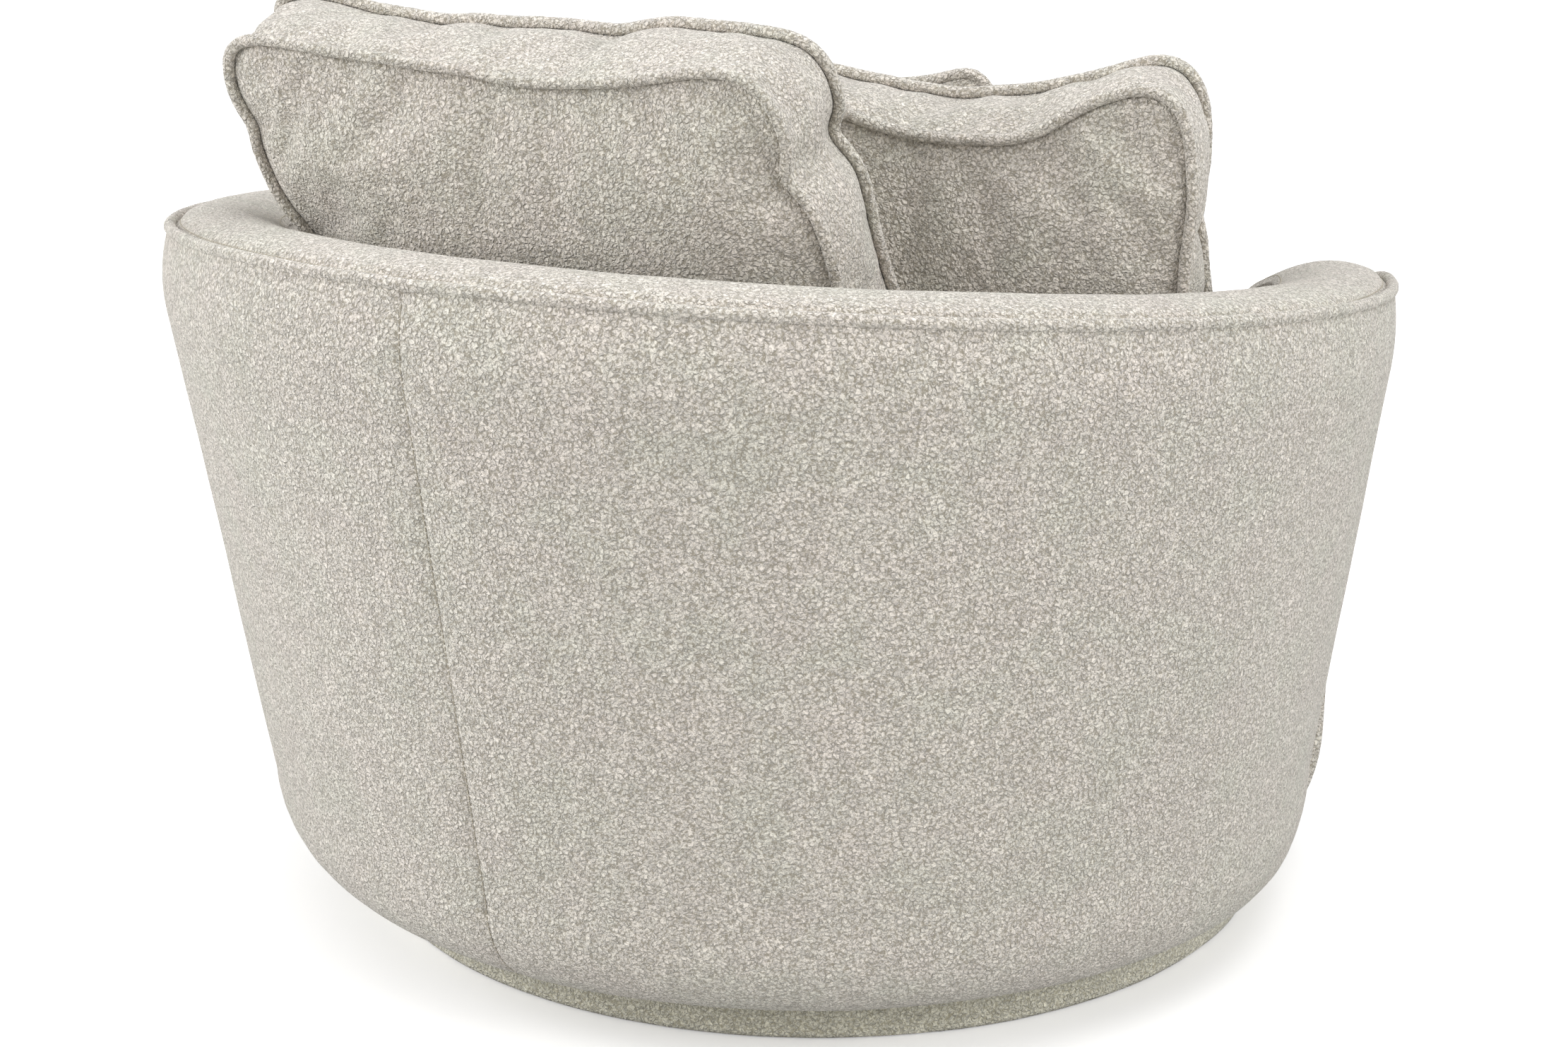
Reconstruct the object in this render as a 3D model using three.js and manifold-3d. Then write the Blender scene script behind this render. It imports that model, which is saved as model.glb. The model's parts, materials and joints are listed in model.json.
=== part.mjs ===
// Cuddle chair: a round upholstered tub that swivels on a plinth, with a loose seat cushion
// and three scatter cushions.
// Millimetres, +Z up. The chair faces -Y and its back stands towards +Y.
// Angles round the tub are counted from the middle of the back, positive towards +X.
import * as THREE from 'three';
import { mergeVertices } from 'three/addons/utils/BufferGeometryUtils.js';
import Module from 'manifold-3d';

const wasm = await Module();
wasm.setup();

// Fits and cloth
const fitGap = 0.3;
const softGap = 0.9;
const fabric = 3;
const cutOverrun = 5;

// Rim: the piped outer edge of the top band, a circle that falls towards the arms
const rimRadius = 600;
const rimBackHeight = 727;
const rimFall = 57;
const pipingRadius = 5.5;
const bandWidth = 110;
const bandCrown = 15;
const bandInnerDrop = 6;

// Tub wall: a cone that widens upwards and leans back, tucked in under the piping, and a foot rounded under
const tubOverhang = 21.6;
const tubTaperShare = 0.141;
const tubLeanShare = 0.036;
const tubTuckDepth = 80;
const tubFootHeight = 150;
const hemHeight = 50;
const hemSetIn = 104;
const hemFlap = 22;
const armEndDegrees = 140;
const armRoundDegrees = 13;
const armEndThickShare = 0.35;
const armEndDrop = 35;
const innerFlareShare = 0.045;
const centreSeamGap = 1;
const footRoundShares = [0.93, 0.7, 0.35];
const bandLineShares = [0.05, 0.2, 0.42, 0.66, 0.88, 1];
const bandRoundShare = 0.7;
const pipingClearShare = 3;

// Wall layers and timber
const wallFoam = 30;
const skinBoard = 5;
const ribThickness = 18;
const ribGap = 1.6;
const ribFootDepth = 45;
const ribDegrees = [-126, -90, -45, 0, 45, 90, 126];
const ribLowShare = 0.4;
const ribHighShare = 0.5;
const railThickness = 18;
const bandFoamDepth = 22;

// Swivel, set forward of the rim's centre
const swivelSetForward = 67;
const swivelPlateRadius = 150;
const swivelPlate = 3;
const raceRadius = 120;
const raceWidth = 20;
const raceRise = 4.2;
const ballRadius = 5;
const ballCount = 8;
const ballClearance = 0.8;
const cageSheet = 1.5;
const cageWidth = 26;
const pivotRadius = 12;
const pivotHeadRadius = 20;
const pivotHead = 3;
const pivotClearance = 1.5;
const pivotWellRadius = 40;
const boltCircleRadius = 140;
const boltRadius = 3;
const boltHeadRadius = 6;
const boltHead = 3;

// Plinth
const plinthSetIn = 22.5;
const plinthWall = 18;
const plinthTopHeight = 46;
const glideHeight = 4;
const glideRadius = 8;
const glideDegrees = [45, 135, 225, 315];
const plinthClothLift = 1.5;
const plinthBoard = 15;
const plinthBoardFloor = 18;

// Seat platform and front apron
const seatBoard = 18;
const seatBoardInset = 4;
const deckHeight = 250;
const deckPad = 21;
const strapWidth = 50;
const strapThickness = 2;
const strapSpacing = 120;
const strapCount = 5;
const rearRailSetIn = 93;
const rearRailThickness = 22;
const rearRailShare = 0.574;
const apronDegrees = 120;
const apronProud = 44;
const apronEdgeRound = 25;
const apronEdgeShare = 0.3;
const apronFoam = 35;
const apronBoard = 12;
const apronFlap = 36;

// Seat cushion
const seatWallGap = 5.5;
const seatProud = 6;
const seatEdgeHeight = 158;
const seatCrown = 16;
const seatBulge = 6;
const seatEarStartDegrees = 143;
const seatEarEndDegrees = 154;
const cushionPiping = 5;
const cushionSkin = 10;
const zipWidth = 6;
const zipShare = 0.55;
const seatFootShare = 0.9;
const seatCoreShare = 0.8;
const seatCoreRiseShare = 1 / 3;
const seatCrownShares = [[0.93, 0.3], [0.75, 0.72], [0.4, 0.96]];

// Scatter cushions: sizes, and how far each one's lower back edge stands inside the seat's round side
const scatterLarge = {
    width: 535, height: 500, border: 118, crown: 24, drawInShare: 0.035, borderBulge: 4,
    wave: 4, waveCount: 7, columns: 10, rows: 9, layers: 2,
};
const scatterMedium = {
    width: 500, height: 450, border: 118, crown: 24, drawInShare: 0.035, borderBulge: 4,
    wave: 4, waveCount: 6, columns: 10, rows: 9, layers: 2,
};
const scatterSmall = {
    width: 440, height: 440, border: 8, crown: 58, drawInShare: 0.06, borderBulge: 0, wave: 0, waveCount: 0,
    columns: 10, rows: 10, layers: 1,
};
const cornerPower = 7;
const edgePower = 6;
const crownPower = 3;
const sidePipingShare = 0.76;
const proudPipingShare = 0.52;
const smallCoreShare = 0.75;
const scatterSmallSkin = 22;
const largeAcross = 18;
const largeSetIn = 203;
const mediumSideSetIn = 249;
const mediumSetIn = 391;
const smallAcross = 2;
const smallSetIn = 603;

// Facet counts
const facetDegrees = 9;
const armRoundShares = [0.1, 0.38, 0.62, 0.82, 0.94, 1];
const apronFacets = 18;
const ringFacets = 48;
const plateFacets = 24;
const boltFacets = 6;
const ballFacets = 6;
const ballRings = 4;
const holeFacets = 8;
const seatSideFacets = 14;
const seatEarFacets = 4;
const seatFrontFacets = 3;
const pipingSides = 5;
const coreGrid = { columns: 6, rows: 5, layers: 1 };

// Materials
const materials = {
    boucle: { color: 0xd9d3c7, roughness: 0.95, metalness: 0 },
    boucleShade: { color: 0xb0a993, roughness: 0.95, metalness: 0 },
    foam: { color: 0xe8dcae, roughness: 0.9, metalness: 0 },
    fibre: { color: 0xf4f3ee, roughness: 0.95, metalness: 0 },
    plywood: { color: 0xc9a06b, roughness: 0.6, metalness: 0 },
    hardboard: { color: 0x8b6b4a, roughness: 0.7, metalness: 0 },
    webbing: { color: 0x2e2d2b, roughness: 0.8, metalness: 0 },
    steel: { color: 0x8d9094, roughness: 0.35, metalness: 1 },
    zinc: { color: 0xb9bcc0, roughness: 0.3, metalness: 1 },
    glide: { color: 0x26241f, roughness: 0.5, metalness: 0 },
};

// Heights that stack up from the floor
const plinthFloor = glideHeight + fitGap;
const plinthBoardTop = plinthBoardFloor + plinthBoard;
const seatBoardFloor = hemHeight + fabric + fitGap;
const seatBoardTop = seatBoardFloor + seatBoard;
const deckPadFloor = deckHeight - deckPad;
const strapFloor = deckPadFloor - fitGap - strapThickness;
const boardTop = strapFloor - fitGap;
const wallFloor = deckHeight + 2 * fitGap;
const seatFloor = deckHeight + fitGap;
const seatTopEdge = seatFloor + seatEdgeHeight;

// Radii that follow the rim
const tubTopRadius = rimRadius + tubOverhang;
const hemRadius = rimRadius - hemSetIn;
const plinthRadius = hemRadius - plinthSetIn;
const apronRadius = hemRadius + apronProud;
const seatFrontRadius = apronRadius + seatProud;

const radians = (degrees) => THREE.MathUtils.degToRad(degrees);
const clampShare = (value) => Math.min(1, Math.max(0, value));
const mix = THREE.MathUtils.lerp;
const armEnd = radians(armEndDegrees);
const armRoundStart = radians(armEndDegrees - armRoundDegrees);
const apronStart = radians(apronDegrees);

// Distance from the rim's axis to a circle whose centre is shifted towards the back
function circleReach(angle, radius, shift) {
    const side = shift * Math.sin(angle);
    return shift * Math.cos(angle) + Math.sqrt(radius * radius - side * side);
}

const swivelReach = (angle, radius) => circleReach(angle, radius, -swivelSetForward);
const rimHeight = (angle) => rimBackHeight - rimFall * (1 - Math.cos(angle));

function coneReach(angle, height) {
    const below = rimBackHeight - height;
    return circleReach(angle, tubTopRadius - tubTaperShare * below, -tubLeanShare * below);
}

// How far a foot that rounds under has drawn in, from 0 at the foot height to 1 at the hem
function footShare(height) {
    const fallen = clampShare((tubFootHeight - height) / (tubFootHeight - hemHeight));
    return 1 - Math.sqrt(1 - fallen * fallen);
}

function outerReach(angle, height) {
    if (height < tubFootHeight) {
        return mix(coneReach(angle, tubFootHeight), swivelReach(angle, hemRadius), footShare(height));
    }
    const top = rimHeight(angle);
    const tuckShare = clampShare((height - top + tubTuckDepth) / tubTuckDepth);
    return coneReach(angle, height) - tuckShare * tuckShare * (coneReach(angle, top) - rimRadius);
}

const innerReach = (height) => rimRadius - bandWidth - innerFlareShare * (rimBackHeight - height);
const seatSideRadius = innerReach(seatFloor) - 2 * cushionPiping - seatWallGap;
const apronReach = (angle, height) => swivelReach(angle, mix(apronRadius, hemRadius, footShare(height)));

// The rim's axis stands so that the chair's box is centred on the origin from front to back
const backReach = outerReach(0, rimBackHeight - tubTuckDepth / 2);
const frontReach = swivelSetForward + seatFrontRadius + seatBulge + cushionPiping;
const rimY = (frontReach - backReach) / 2;
const swivelY = rimY - swivelSetForward;

// Arm ends: the wall thins to a rounded nose and its top drops
function armPoint(angle, [reach, height]) {
    const past = clampShare((Math.abs(angle) - armRoundStart) / (armEnd - armRoundStart));
    const thickShare = Math.max(armEndThickShare, Math.sqrt(1 - past * past));
    const middle = (coneReach(angle, height) + innerReach(height)) / 2;
    const riseShare = clampShare((height - wallFloor) / (rimHeight(angle) - wallFloor));
    return [mix(middle, reach, thickShare), height - armEndDrop * (1 - thickShare) * riseShare];
}

const place = (angle, [reach, height]) => [reach * Math.sin(angle), rimY + reach * Math.cos(angle), height];

// The middle of each scatter cushion's lower back edge from the rim's axis, its turn and its lean in degrees
const scatterPlaces = {
    large: { across: largeAcross, back: seatSideRadius - largeSetIn, turn: -5, lean: 20 },
    medium: { across: mediumSideSetIn - seatSideRadius, back: seatSideRadius - mediumSetIn, turn: -8, lean: 12 },
    small: { across: smallAcross, back: seatSideRadius - smallSetIn, turn: -3, lean: 15 },
};

// A line of [reach, height] points moved square to itself, to its left
function offsetLine(points, distance) {
    return points.map((point, i) => {
        const before = points[Math.max(0, i - 1)];
        const after = points[Math.min(points.length - 1, i + 1)];
        const run = [after[0] - before[0], after[1] - before[1]];
        const length = Math.hypot(run[0], run[1]);
        return [point[0] - (run[1] / length) * distance, point[1] + (run[0] / length) * distance];
    });
}

function closedGeometry(vertices, faces) {
    let volume = 0;
    for (const [a, b, c] of faces) {
        const [p, q, r] = [vertices[a], vertices[b], vertices[c]];
        volume += p[0] * (q[1] * r[2] - q[2] * r[1]) - p[1] * (q[0] * r[2] - q[2] * r[0])
            + p[2] * (q[0] * r[1] - q[1] * r[0]);
    }
    const geometry = new THREE.BufferGeometry();
    geometry.setAttribute('position', new THREE.Float32BufferAttribute(vertices.flat(), 3));
    geometry.setIndex(faces.flatMap(([a, b, c]) => (volume > 0 ? [a, b, c] : [a, c, b])));
    geometry.computeVertexNormals();
    return geometry;
}

// A wall between two lines of points, carried round the tub: lines(angle) gives its outer and inner lines
function sweepWall(angles, lines) {
    const vertices = [];
    const faces = [];
    let count = 0;
    for (const angle of angles) {
        const [outer, inner] = lines(angle);
        count = outer.length;
        vertices.push(...[...outer, ...inner].map((point) => place(angle, point)));
    }
    const quad = (a, b, c, d) => faces.push([a, b, c], [a, c, d]);
    const loop = [...Array(count).keys()].concat([...Array(count).keys()].map((i) => 2 * count - 1 - i));
    for (let station = 0; station < angles.length - 1; station += 1) {
        const here = station * 2 * count;
        const next = here + 2 * count;
        loop.forEach((from, i) => {
            const to = loop[(i + 1) % loop.length];
            if (i < count) {
                quad(here + from, here + to, next + to, next + from);
            } else {
                quad(here + to, next + to, next + from, here + from);
            }
        });
    }
    const last = (angles.length - 1) * 2 * count;
    for (let i = 0; i < count - 1; i += 1) {
        quad(i, i + count, i + count + 1, i + 1);
        quad(last + i, last + i + 1, last + i + count + 1, last + i + count);
    }
    return closedGeometry(vertices, faces);
}

// A tube along a list of THREE.Vector3 points; side(i) is a direction square enough to the run
function tube(points, radius, side, closed) {
    const vertices = [];
    const faces = [];
    const last = points.length - 1;
    points.forEach((point, i) => {
        const before = points[closed ? (i + last) % points.length : Math.max(0, i - 1)];
        const after = points[closed ? (i + 1) % points.length : Math.min(last, i + 1)];
        const run = after.clone().sub(before).normalize();
        const first = side(i).clone().addScaledVector(run, -side(i).dot(run)).normalize();
        const second = run.clone().cross(first);
        for (let k = 0; k < pipingSides; k += 1) {
            const turn = (2 * Math.PI * k) / pipingSides;
            const spot = point.clone().addScaledVector(first, radius * Math.cos(turn));
            vertices.push(spot.addScaledVector(second, radius * Math.sin(turn)).toArray());
        }
    });
    for (let i = 0; i < (closed ? points.length : last); i += 1) {
        const next = (i + 1) % points.length;
        for (let k = 0; k < pipingSides; k += 1) {
            const turned = (k + 1) % pipingSides;
            const [a, b] = [i * pipingSides + k, i * pipingSides + turned];
            const [c, d] = [next * pipingSides + turned, next * pipingSides + k];
            faces.push([a, b, c], [a, c, d]);
        }
    }
    for (let k = 1; !closed && k < pipingSides - 1; k += 1) {
        faces.push([0, k + 1, k], [last * pipingSides, last * pipingSides + k, last * pipingSides + k + 1]);
    }
    return closedGeometry(vertices, faces);
}

// A loop that runs anticlockwise seen from +Z, moved outwards in its own plane with mitred corners
function outsetLoop(line, distance) {
    return line.map((point, i) => {
        const before = line[(i + line.length - 1) % line.length];
        const after = line[(i + 1) % line.length];
        const arriving = point.clone().sub(before).setZ(0).normalize();
        const leaving = after.clone().sub(point).setZ(0).normalize();
        const run = arriving.add(leaving).normalize();
        const outwards = new THREE.Vector3(run.y, -run.x, 0);
        return point.clone().addScaledVector(outwards, distance / run.dot(leaving));
    });
}

function toSolid(geometry) {
    const bare = geometry.clone();
    bare.deleteAttribute('normal');
    bare.deleteAttribute('uv');
    const merged = mergeVertices(bare);
    return new wasm.Manifold(new wasm.Mesh({
        numProp: 3,
        vertProperties: new Float32Array(merged.attributes.position.array),
        triVerts: new Uint32Array(merged.index.array),
    }));
}

function fromSolid(solid) {
    const mesh = solid.getMesh();
    const geometry = new THREE.BufferGeometry();
    geometry.setAttribute('position', new THREE.Float32BufferAttribute(mesh.vertProperties, 3));
    geometry.setIndex(Array.from(mesh.triVerts));
    geometry.computeVertexNormals();
    return geometry;
}

function cut(geometry, ...cutters) {
    return fromSolid(cutters.reduce((solid, cutter) => solid.subtract(toSolid(cutter)), toSolid(geometry)));
}

// A turned solid about +Z from a closed list of [radius, height] points
function turned(profile, facets, x = 0, y = 0) {
    const points = profile.map(([radius, height]) => new THREE.Vector2(radius, height));
    return new THREE.LatheGeometry(points, facets).rotateX(Math.PI / 2).translate(x, y, 0);
}

const ringProfile = (inner, outer, low, high) => [
    [inner, low], [outer, low], [outer, high], [inner, high], [inner, low],
];
const discProfile = (radius, low, high) => [[0, low], [radius, low], [radius, high], [0, high]];

function plate(outline, low, thickness, holes = []) {
    const edge = outline.map(([x, y]) => new THREE.Vector2(x, y));
    const shape = new THREE.Shape(THREE.ShapeUtils.isClockWise(edge) ? edge.reverse() : edge);
    for (const [x, y, radius, facets] of holes) {
        const rim = [...Array(facets).keys()].map((k) => {
            const turn = (-2 * Math.PI * k) / facets;
            return new THREE.Vector2(x + radius * Math.cos(turn), y + radius * Math.sin(turn));
        });
        shape.holes.push(new THREE.Path(rim));
    }
    return new THREE.ExtrudeGeometry(shape, { depth: thickness, bevelEnabled: false }).translate(0, 0, low);
}

const group = new THREE.Group();

function add(name, material, geometry, parent = group) {
    const mesh = new THREE.Mesh(geometry, new THREE.MeshStandardMaterial(materials[material]));
    mesh.name = name;
    parent.add(mesh);
    return mesh;
}

// Angles that share facets with the ribs, then follow the arm's rounded end
function halfAngles(endDegrees) {
    const angles = [];
    for (let degrees = 0; degrees < armEndDegrees - armRoundDegrees; degrees += facetDegrees) {
        angles.push(radians(degrees));
    }
    angles.push(...armRoundShares.map((share) => mix(armRoundStart, armEnd, share)));
    return angles.filter((angle) => angle <= radians(endDegrees));
}

function bothSides(endDegrees) {
    const half = halfAngles(endDegrees);
    return [...half.slice(1).reverse().map((angle) => -angle), ...half];
}

const ribReachDegrees = ribDegrees[ribDegrees.length - 1];
const wallAngles = bothSides(armEndDegrees);
const foamAngles = bothSides(armEndDegrees - fabric / 2);
const timberEnd = radians(ribReachDegrees) + ribThickness / rimRadius;
const timberAngles = [-timberEnd, ...bothSides(ribReachDegrees), timberEnd];
const apronSweep = (clearance) => [...Array(apronFacets + 1).keys()].map((i) => {
    const start = apronStart + clearance / apronRadius;
    return mix(start, 2 * Math.PI - start, i / apronFacets);
});
const warped = (angle, lines) => lines.map((line) => line.map((point) => armPoint(angle, point)));

// Centres of a swivel plate's four bolts
const boltSpots = (turnDegrees) => [0, 1, 2, 3].map((k) => {
    const turn = radians(turnDegrees) + (k * Math.PI) / 2;
    return [boltCircleRadius * Math.cos(turn), swivelY + boltCircleRadius * Math.sin(turn)];
});

function bolt(name, [x, y], headFloor, tip) {
    const profile = [
        [0, tip], [boltRadius, tip], [boltRadius, headFloor], [boltHeadRadius, headFloor],
        [boltHeadRadius, headFloor + boltHead], [0, headFloor + boltHead],
    ];
    add(name, 'zinc', turned(profile, boltFacets, x, y));
}

const boltBore = boltRadius + 2 * fitGap;
const borePunch = ([x, y], low, high) => turned(discProfile(boltBore, low, high), boltFacets, x, y);

// Plinth: a plywood hoop on glides, a board let into it, and a fabric wrap
function buildPlinth() {
    const hoopRadius = plinthRadius - fabric - fitGap;
    const hoopMiddle = hoopRadius - plinthWall / 2;
    const hoop = ringProfile(hoopRadius - plinthWall, hoopRadius, plinthFloor, plinthTopHeight - fabric);
    add('plinth_ring', 'plywood', turned(hoop, ringFacets, 0, swivelY));
    const spots = boltSpots(0);
    const boardRadius = hoopRadius - plinthWall - fitGap;
    const boardHoles = spots.map(([x, y]) => [x, y, boltBore, holeFacets]);
    add('plinth_board', 'plywood',
        plate(circleOutline(boardRadius, ringFacets), plinthBoardFloor, plinthBoard, boardHoles));
    const wrap = ringProfile(plinthRadius - fabric, plinthRadius, plinthClothLift, plinthTopHeight);
    add('plinth_cover', 'boucleShade', turned(wrap, ringFacets, 0, swivelY));
    glideDegrees.forEach((degrees, i) => {
        const turn = radians(degrees);
        add(`glide_${i + 1}`, 'glide', turned(discProfile(glideRadius, 0, glideHeight), plateFacets / 2,
            hoopMiddle * Math.cos(turn), swivelY + hoopMiddle * Math.sin(turn)));
    });
}

// Swivel: two pressed plates with facing races, a caged ring of balls and a riveted centre pivot
function buildSwivel() {
    const lowerFloor = plinthBoardTop + fitGap;
    const upperTop = seatBoardFloor - fitGap;
    const ballHeight = (lowerFloor + upperTop) / 2;
    const grooveDepth = (ballRadius + ballClearance) * Math.SQRT2;
    const raceInner = raceRadius - raceWidth / 2;
    const raceOuter = raceRadius + raceWidth / 2;
    const lowerTop = lowerFloor + swivelPlate;
    const lowerRace = lowerTop + raceRise;
    const lowerHalf = lowerRace - (ballHeight - grooveDepth);
    const upperFloor = upperTop - swivelPlate;
    const upperRace = upperFloor - raceRise;
    const upperHalf = ballHeight + grooveDepth - upperRace;
    const headFloor = upperTop + 2 * fitGap;
    const lower = turned([
        [0, lowerFloor], [swivelPlateRadius, lowerFloor], [swivelPlateRadius, lowerTop],
        [raceOuter, lowerTop], [raceOuter, lowerRace], [raceRadius + lowerHalf, lowerRace],
        [raceRadius, ballHeight - grooveDepth], [raceRadius - lowerHalf, lowerRace],
        [raceInner, lowerRace], [raceInner, lowerTop], [pivotRadius, lowerTop], [pivotRadius, headFloor],
        [pivotHeadRadius, headFloor], [pivotHeadRadius, headFloor + pivotHead], [0, headFloor + pivotHead],
    ], plateFacets, 0, swivelY);
    const lowerSpots = boltSpots(0);
    add('swivel_lower_plate', 'steel', cut(lower,
        ...lowerSpots.map((spot) => borePunch(spot, lowerFloor - cutOverrun, lowerTop + cutOverrun))));
    lowerSpots.forEach((spot, i) => {
        bolt(`lower_bolt_${i + 1}`, spot, lowerTop + fitGap, plinthBoardFloor + fitGap);
    });

    const upper = turned([
        [pivotRadius + pivotClearance, upperFloor], [raceInner, upperFloor], [raceInner, upperRace],
        [raceRadius - upperHalf, upperRace], [raceRadius, ballHeight + grooveDepth],
        [raceRadius + upperHalf, upperRace], [raceOuter, upperRace], [raceOuter, upperFloor],
        [swivelPlateRadius, upperFloor], [swivelPlateRadius, upperTop],
        [pivotRadius + pivotClearance, upperTop], [pivotRadius + pivotClearance, upperFloor],
    ], plateFacets, 0, swivelY);
    const upperSpots = boltSpots(45);
    add('swivel_upper_plate', 'steel', cut(upper,
        ...upperSpots.map((spot) => borePunch(spot, upperFloor - cutOverrun, upperTop + cutOverrun))));
    upperSpots.forEach((spot, i) => {
        bolt(`upper_bolt_${i + 1}`, spot, seatBoardTop + fitGap, upperFloor + fitGap);
    });

    const cage = turned(ringProfile(raceRadius - cageWidth / 2, raceRadius + cageWidth / 2,
        ballHeight - cageSheet / 2, ballHeight + cageSheet / 2), plateFacets, 0, swivelY);
    const balls = [...Array(ballCount).keys()].map((k) => {
        const turn = (2 * Math.PI * k) / ballCount;
        const ball = new THREE.SphereGeometry(ballRadius, ballFacets, ballRings).rotateX(Math.PI / 2);
        ball.translate(raceRadius * Math.cos(turn), swivelY + raceRadius * Math.sin(turn), ballHeight);
        return toSolid(ball);
    });
    add('ball_cage', 'steel', fromSolid(balls.reduce((solid, ball) => solid.add(ball), toSolid(cage))));
}

const circleOutline = (radius, facets) => [...Array(facets).keys()].map((k) => {
    const turn = (2 * Math.PI * k) / facets;
    return [radius * Math.cos(turn), swivelY + radius * Math.sin(turn)];
});

// Seat board: a disc that the tub stands on, with the wall's hem stapled under its edge
function buildSeatBoard() {
    const outline = circleOutline(hemRadius - seatBoardInset, ringFacets);
    const holes = boltSpots(45).map(([x, y]) => [x, y, boltBore, holeFacets]);
    holes.push([0, swivelY, pivotWellRadius, plateFacets]);
    add('seat_board', 'plywood', plate(outline, seatBoardFloor, seatBoard, holes));
}

// Outer wall line from the stapled flap, round the foot and up to the piping
function outerLine(angle) {
    const hemReach = swivelReach(angle, hemRadius);
    const top = rimHeight(angle);
    const footLine = footRoundShares.map((share) => {
        const height = mix(tubFootHeight, hemHeight, share);
        return [outerReach(angle, height), height];
    });
    const tuckHeights = [tubTuckDepth, tubTuckDepth / 2, pipingRadius + 2 * fitGap].map((drop) => top - drop);
    const wallLine = [tubFootHeight, ...tuckHeights].map((height) => [outerReach(angle, height), height]);
    return [[hemReach - hemFlap, hemHeight], [hemReach, hemHeight], ...footLine, ...wallLine];
}

function buildOuterCovers() {
    const sector = sweepWall(apronSweep(-2 * fitGap), () => [
        [[tubTopRadius + cutOverrun, 0], [tubTopRadius + cutOverrun, wallFloor]],
        [[innerReach(0) - hemFlap - wallFoam, 0], [innerReach(0) - hemFlap - wallFoam, wallFloor]],
    ]);
    for (const [name, sign] of [['outer_cover_left', 1], ['outer_cover_right', -1]]) {
        const seamAngle = centreSeamGap / rimRadius / 2;
        const angles = halfAngles(armEndDegrees).map((angle) => sign * Math.max(angle, seamAngle));
        angles.sort((a, b) => a - b);
        const cover = sweepWall(angles, (angle) => {
            const outer = outerLine(angle);
            return warped(angle, [outer, offsetLine(outer, fabric)]);
        });
        add(name, 'boucle', cut(cover, sector));
    }
    const boardLine = (angle) => {
        const top = rimHeight(angle);
        const heights = [tubFootHeight, top - tubTuckDepth, top - bandFoamDepth - railThickness - fitGap];
        const line = heights.map((height) => [outerReach(angle, height) - fabric - 2 * fitGap, height]);
        return [line, line.map(([reach, height]) => [reach - skinBoard, height])];
    };
    add('wall_skin_board', 'hardboard', cut(sweepWall(timberAngles, boardLine), sector));
}

// Ribs: plywood profiles that carry the wall, notched under the seat platform
function buildRibs() {
    const outerInset = fabric + skinBoard + 2 * fitGap + ribGap;
    ribDegrees.forEach((degrees, i) => {
        const angle = radians(degrees);
        const railSlope = (rimFall * Math.abs(Math.sin(angle))) / innerReach(deckHeight);
        const railFloor = rimHeight(angle) - bandFoamDepth - railThickness;
        const top = railFloor - fitGap - (railSlope * ribThickness) / 2;
        const inApron = Math.abs(angle) > apronStart;
        const notch = seatBoardTop + fitGap;
        const boardReach = swivelReach(angle, apronRadius - apronFoam - fabric - apronBoard - 2 * ribGap);
        const lowHeights = [notch, mix(notch, tubFootHeight, ribLowShare), tubFootHeight];
        const lowReach = (height) => outerReach(angle, height) - outerInset - fabric;
        const low = lowHeights.map((height) => (
            [inApron ? Math.min(lowReach(height), boardReach) : lowReach(height), height]));
        if (inApron) {
            low.push([boardReach, deckHeight + fitGap]);
        }
        const waist = inApron ? deckHeight + fitGap : mix(tubFootHeight, top, ribHighShare);
        const high = [waist, top - tubTuckDepth / 2, top].map((height) => (
            [outerReach(angle, height) - outerInset, height]));
        const innerInset = fabric + wallFoam + softGap + ribGap;
        const inner = [top, deckHeight].map((height) => [innerReach(height) + innerInset, height]);
        const edgeReach = swivelReach(angle, hemRadius - seatBoardInset);
        const footReach = Math.min(inner[1][0], edgeReach) - ribFootDepth;
        const foot = [
            [inner[1][0], deckPadFloor - ribGap],
            [footReach, deckPadFloor - ribFootDepth],
            [footReach, notch],
        ];
        const outline = [...low, ...high, ...inner, ...foot];
        const shape = new THREE.Shape(outline.map((point) => new THREE.Vector2(...point)));
        const rib = new THREE.ExtrudeGeometry(shape, { depth: ribThickness, bevelEnabled: false });
        rib.translate(0, 0, -ribThickness / 2).rotateX(Math.PI / 2).rotateZ(Math.PI / 2 - angle);
        add(`wall_rib_${i + 1}`, 'plywood', rib.translate(0, rimY, 0));
    });
    add('top_rail', 'plywood', sweepWall(timberAngles, (angle) => {
        const top = rimHeight(angle) - bandFoamDepth;
        const outside = outerReach(angle, top) - fabric - 2 * ribGap;
        const inside = innerReach(top) + fabric + wallFoam + 2 * softGap;
        const low = top - railThickness;
        return [[[outside, low], [outside, top]], [[inside, low], [inside, top]]];
    }));
}

// Top band line, from beside the piping over the crown to the inner seam
function bandLine(angle) {
    const top = rimHeight(angle);
    return bandLineShares.map((share) => [
        mix(rimRadius, innerReach(top), share),
        top - bandInnerDrop * share + bandCrown * Math.sin(Math.PI * share) ** bandRoundShare,
    ]);
}

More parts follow.
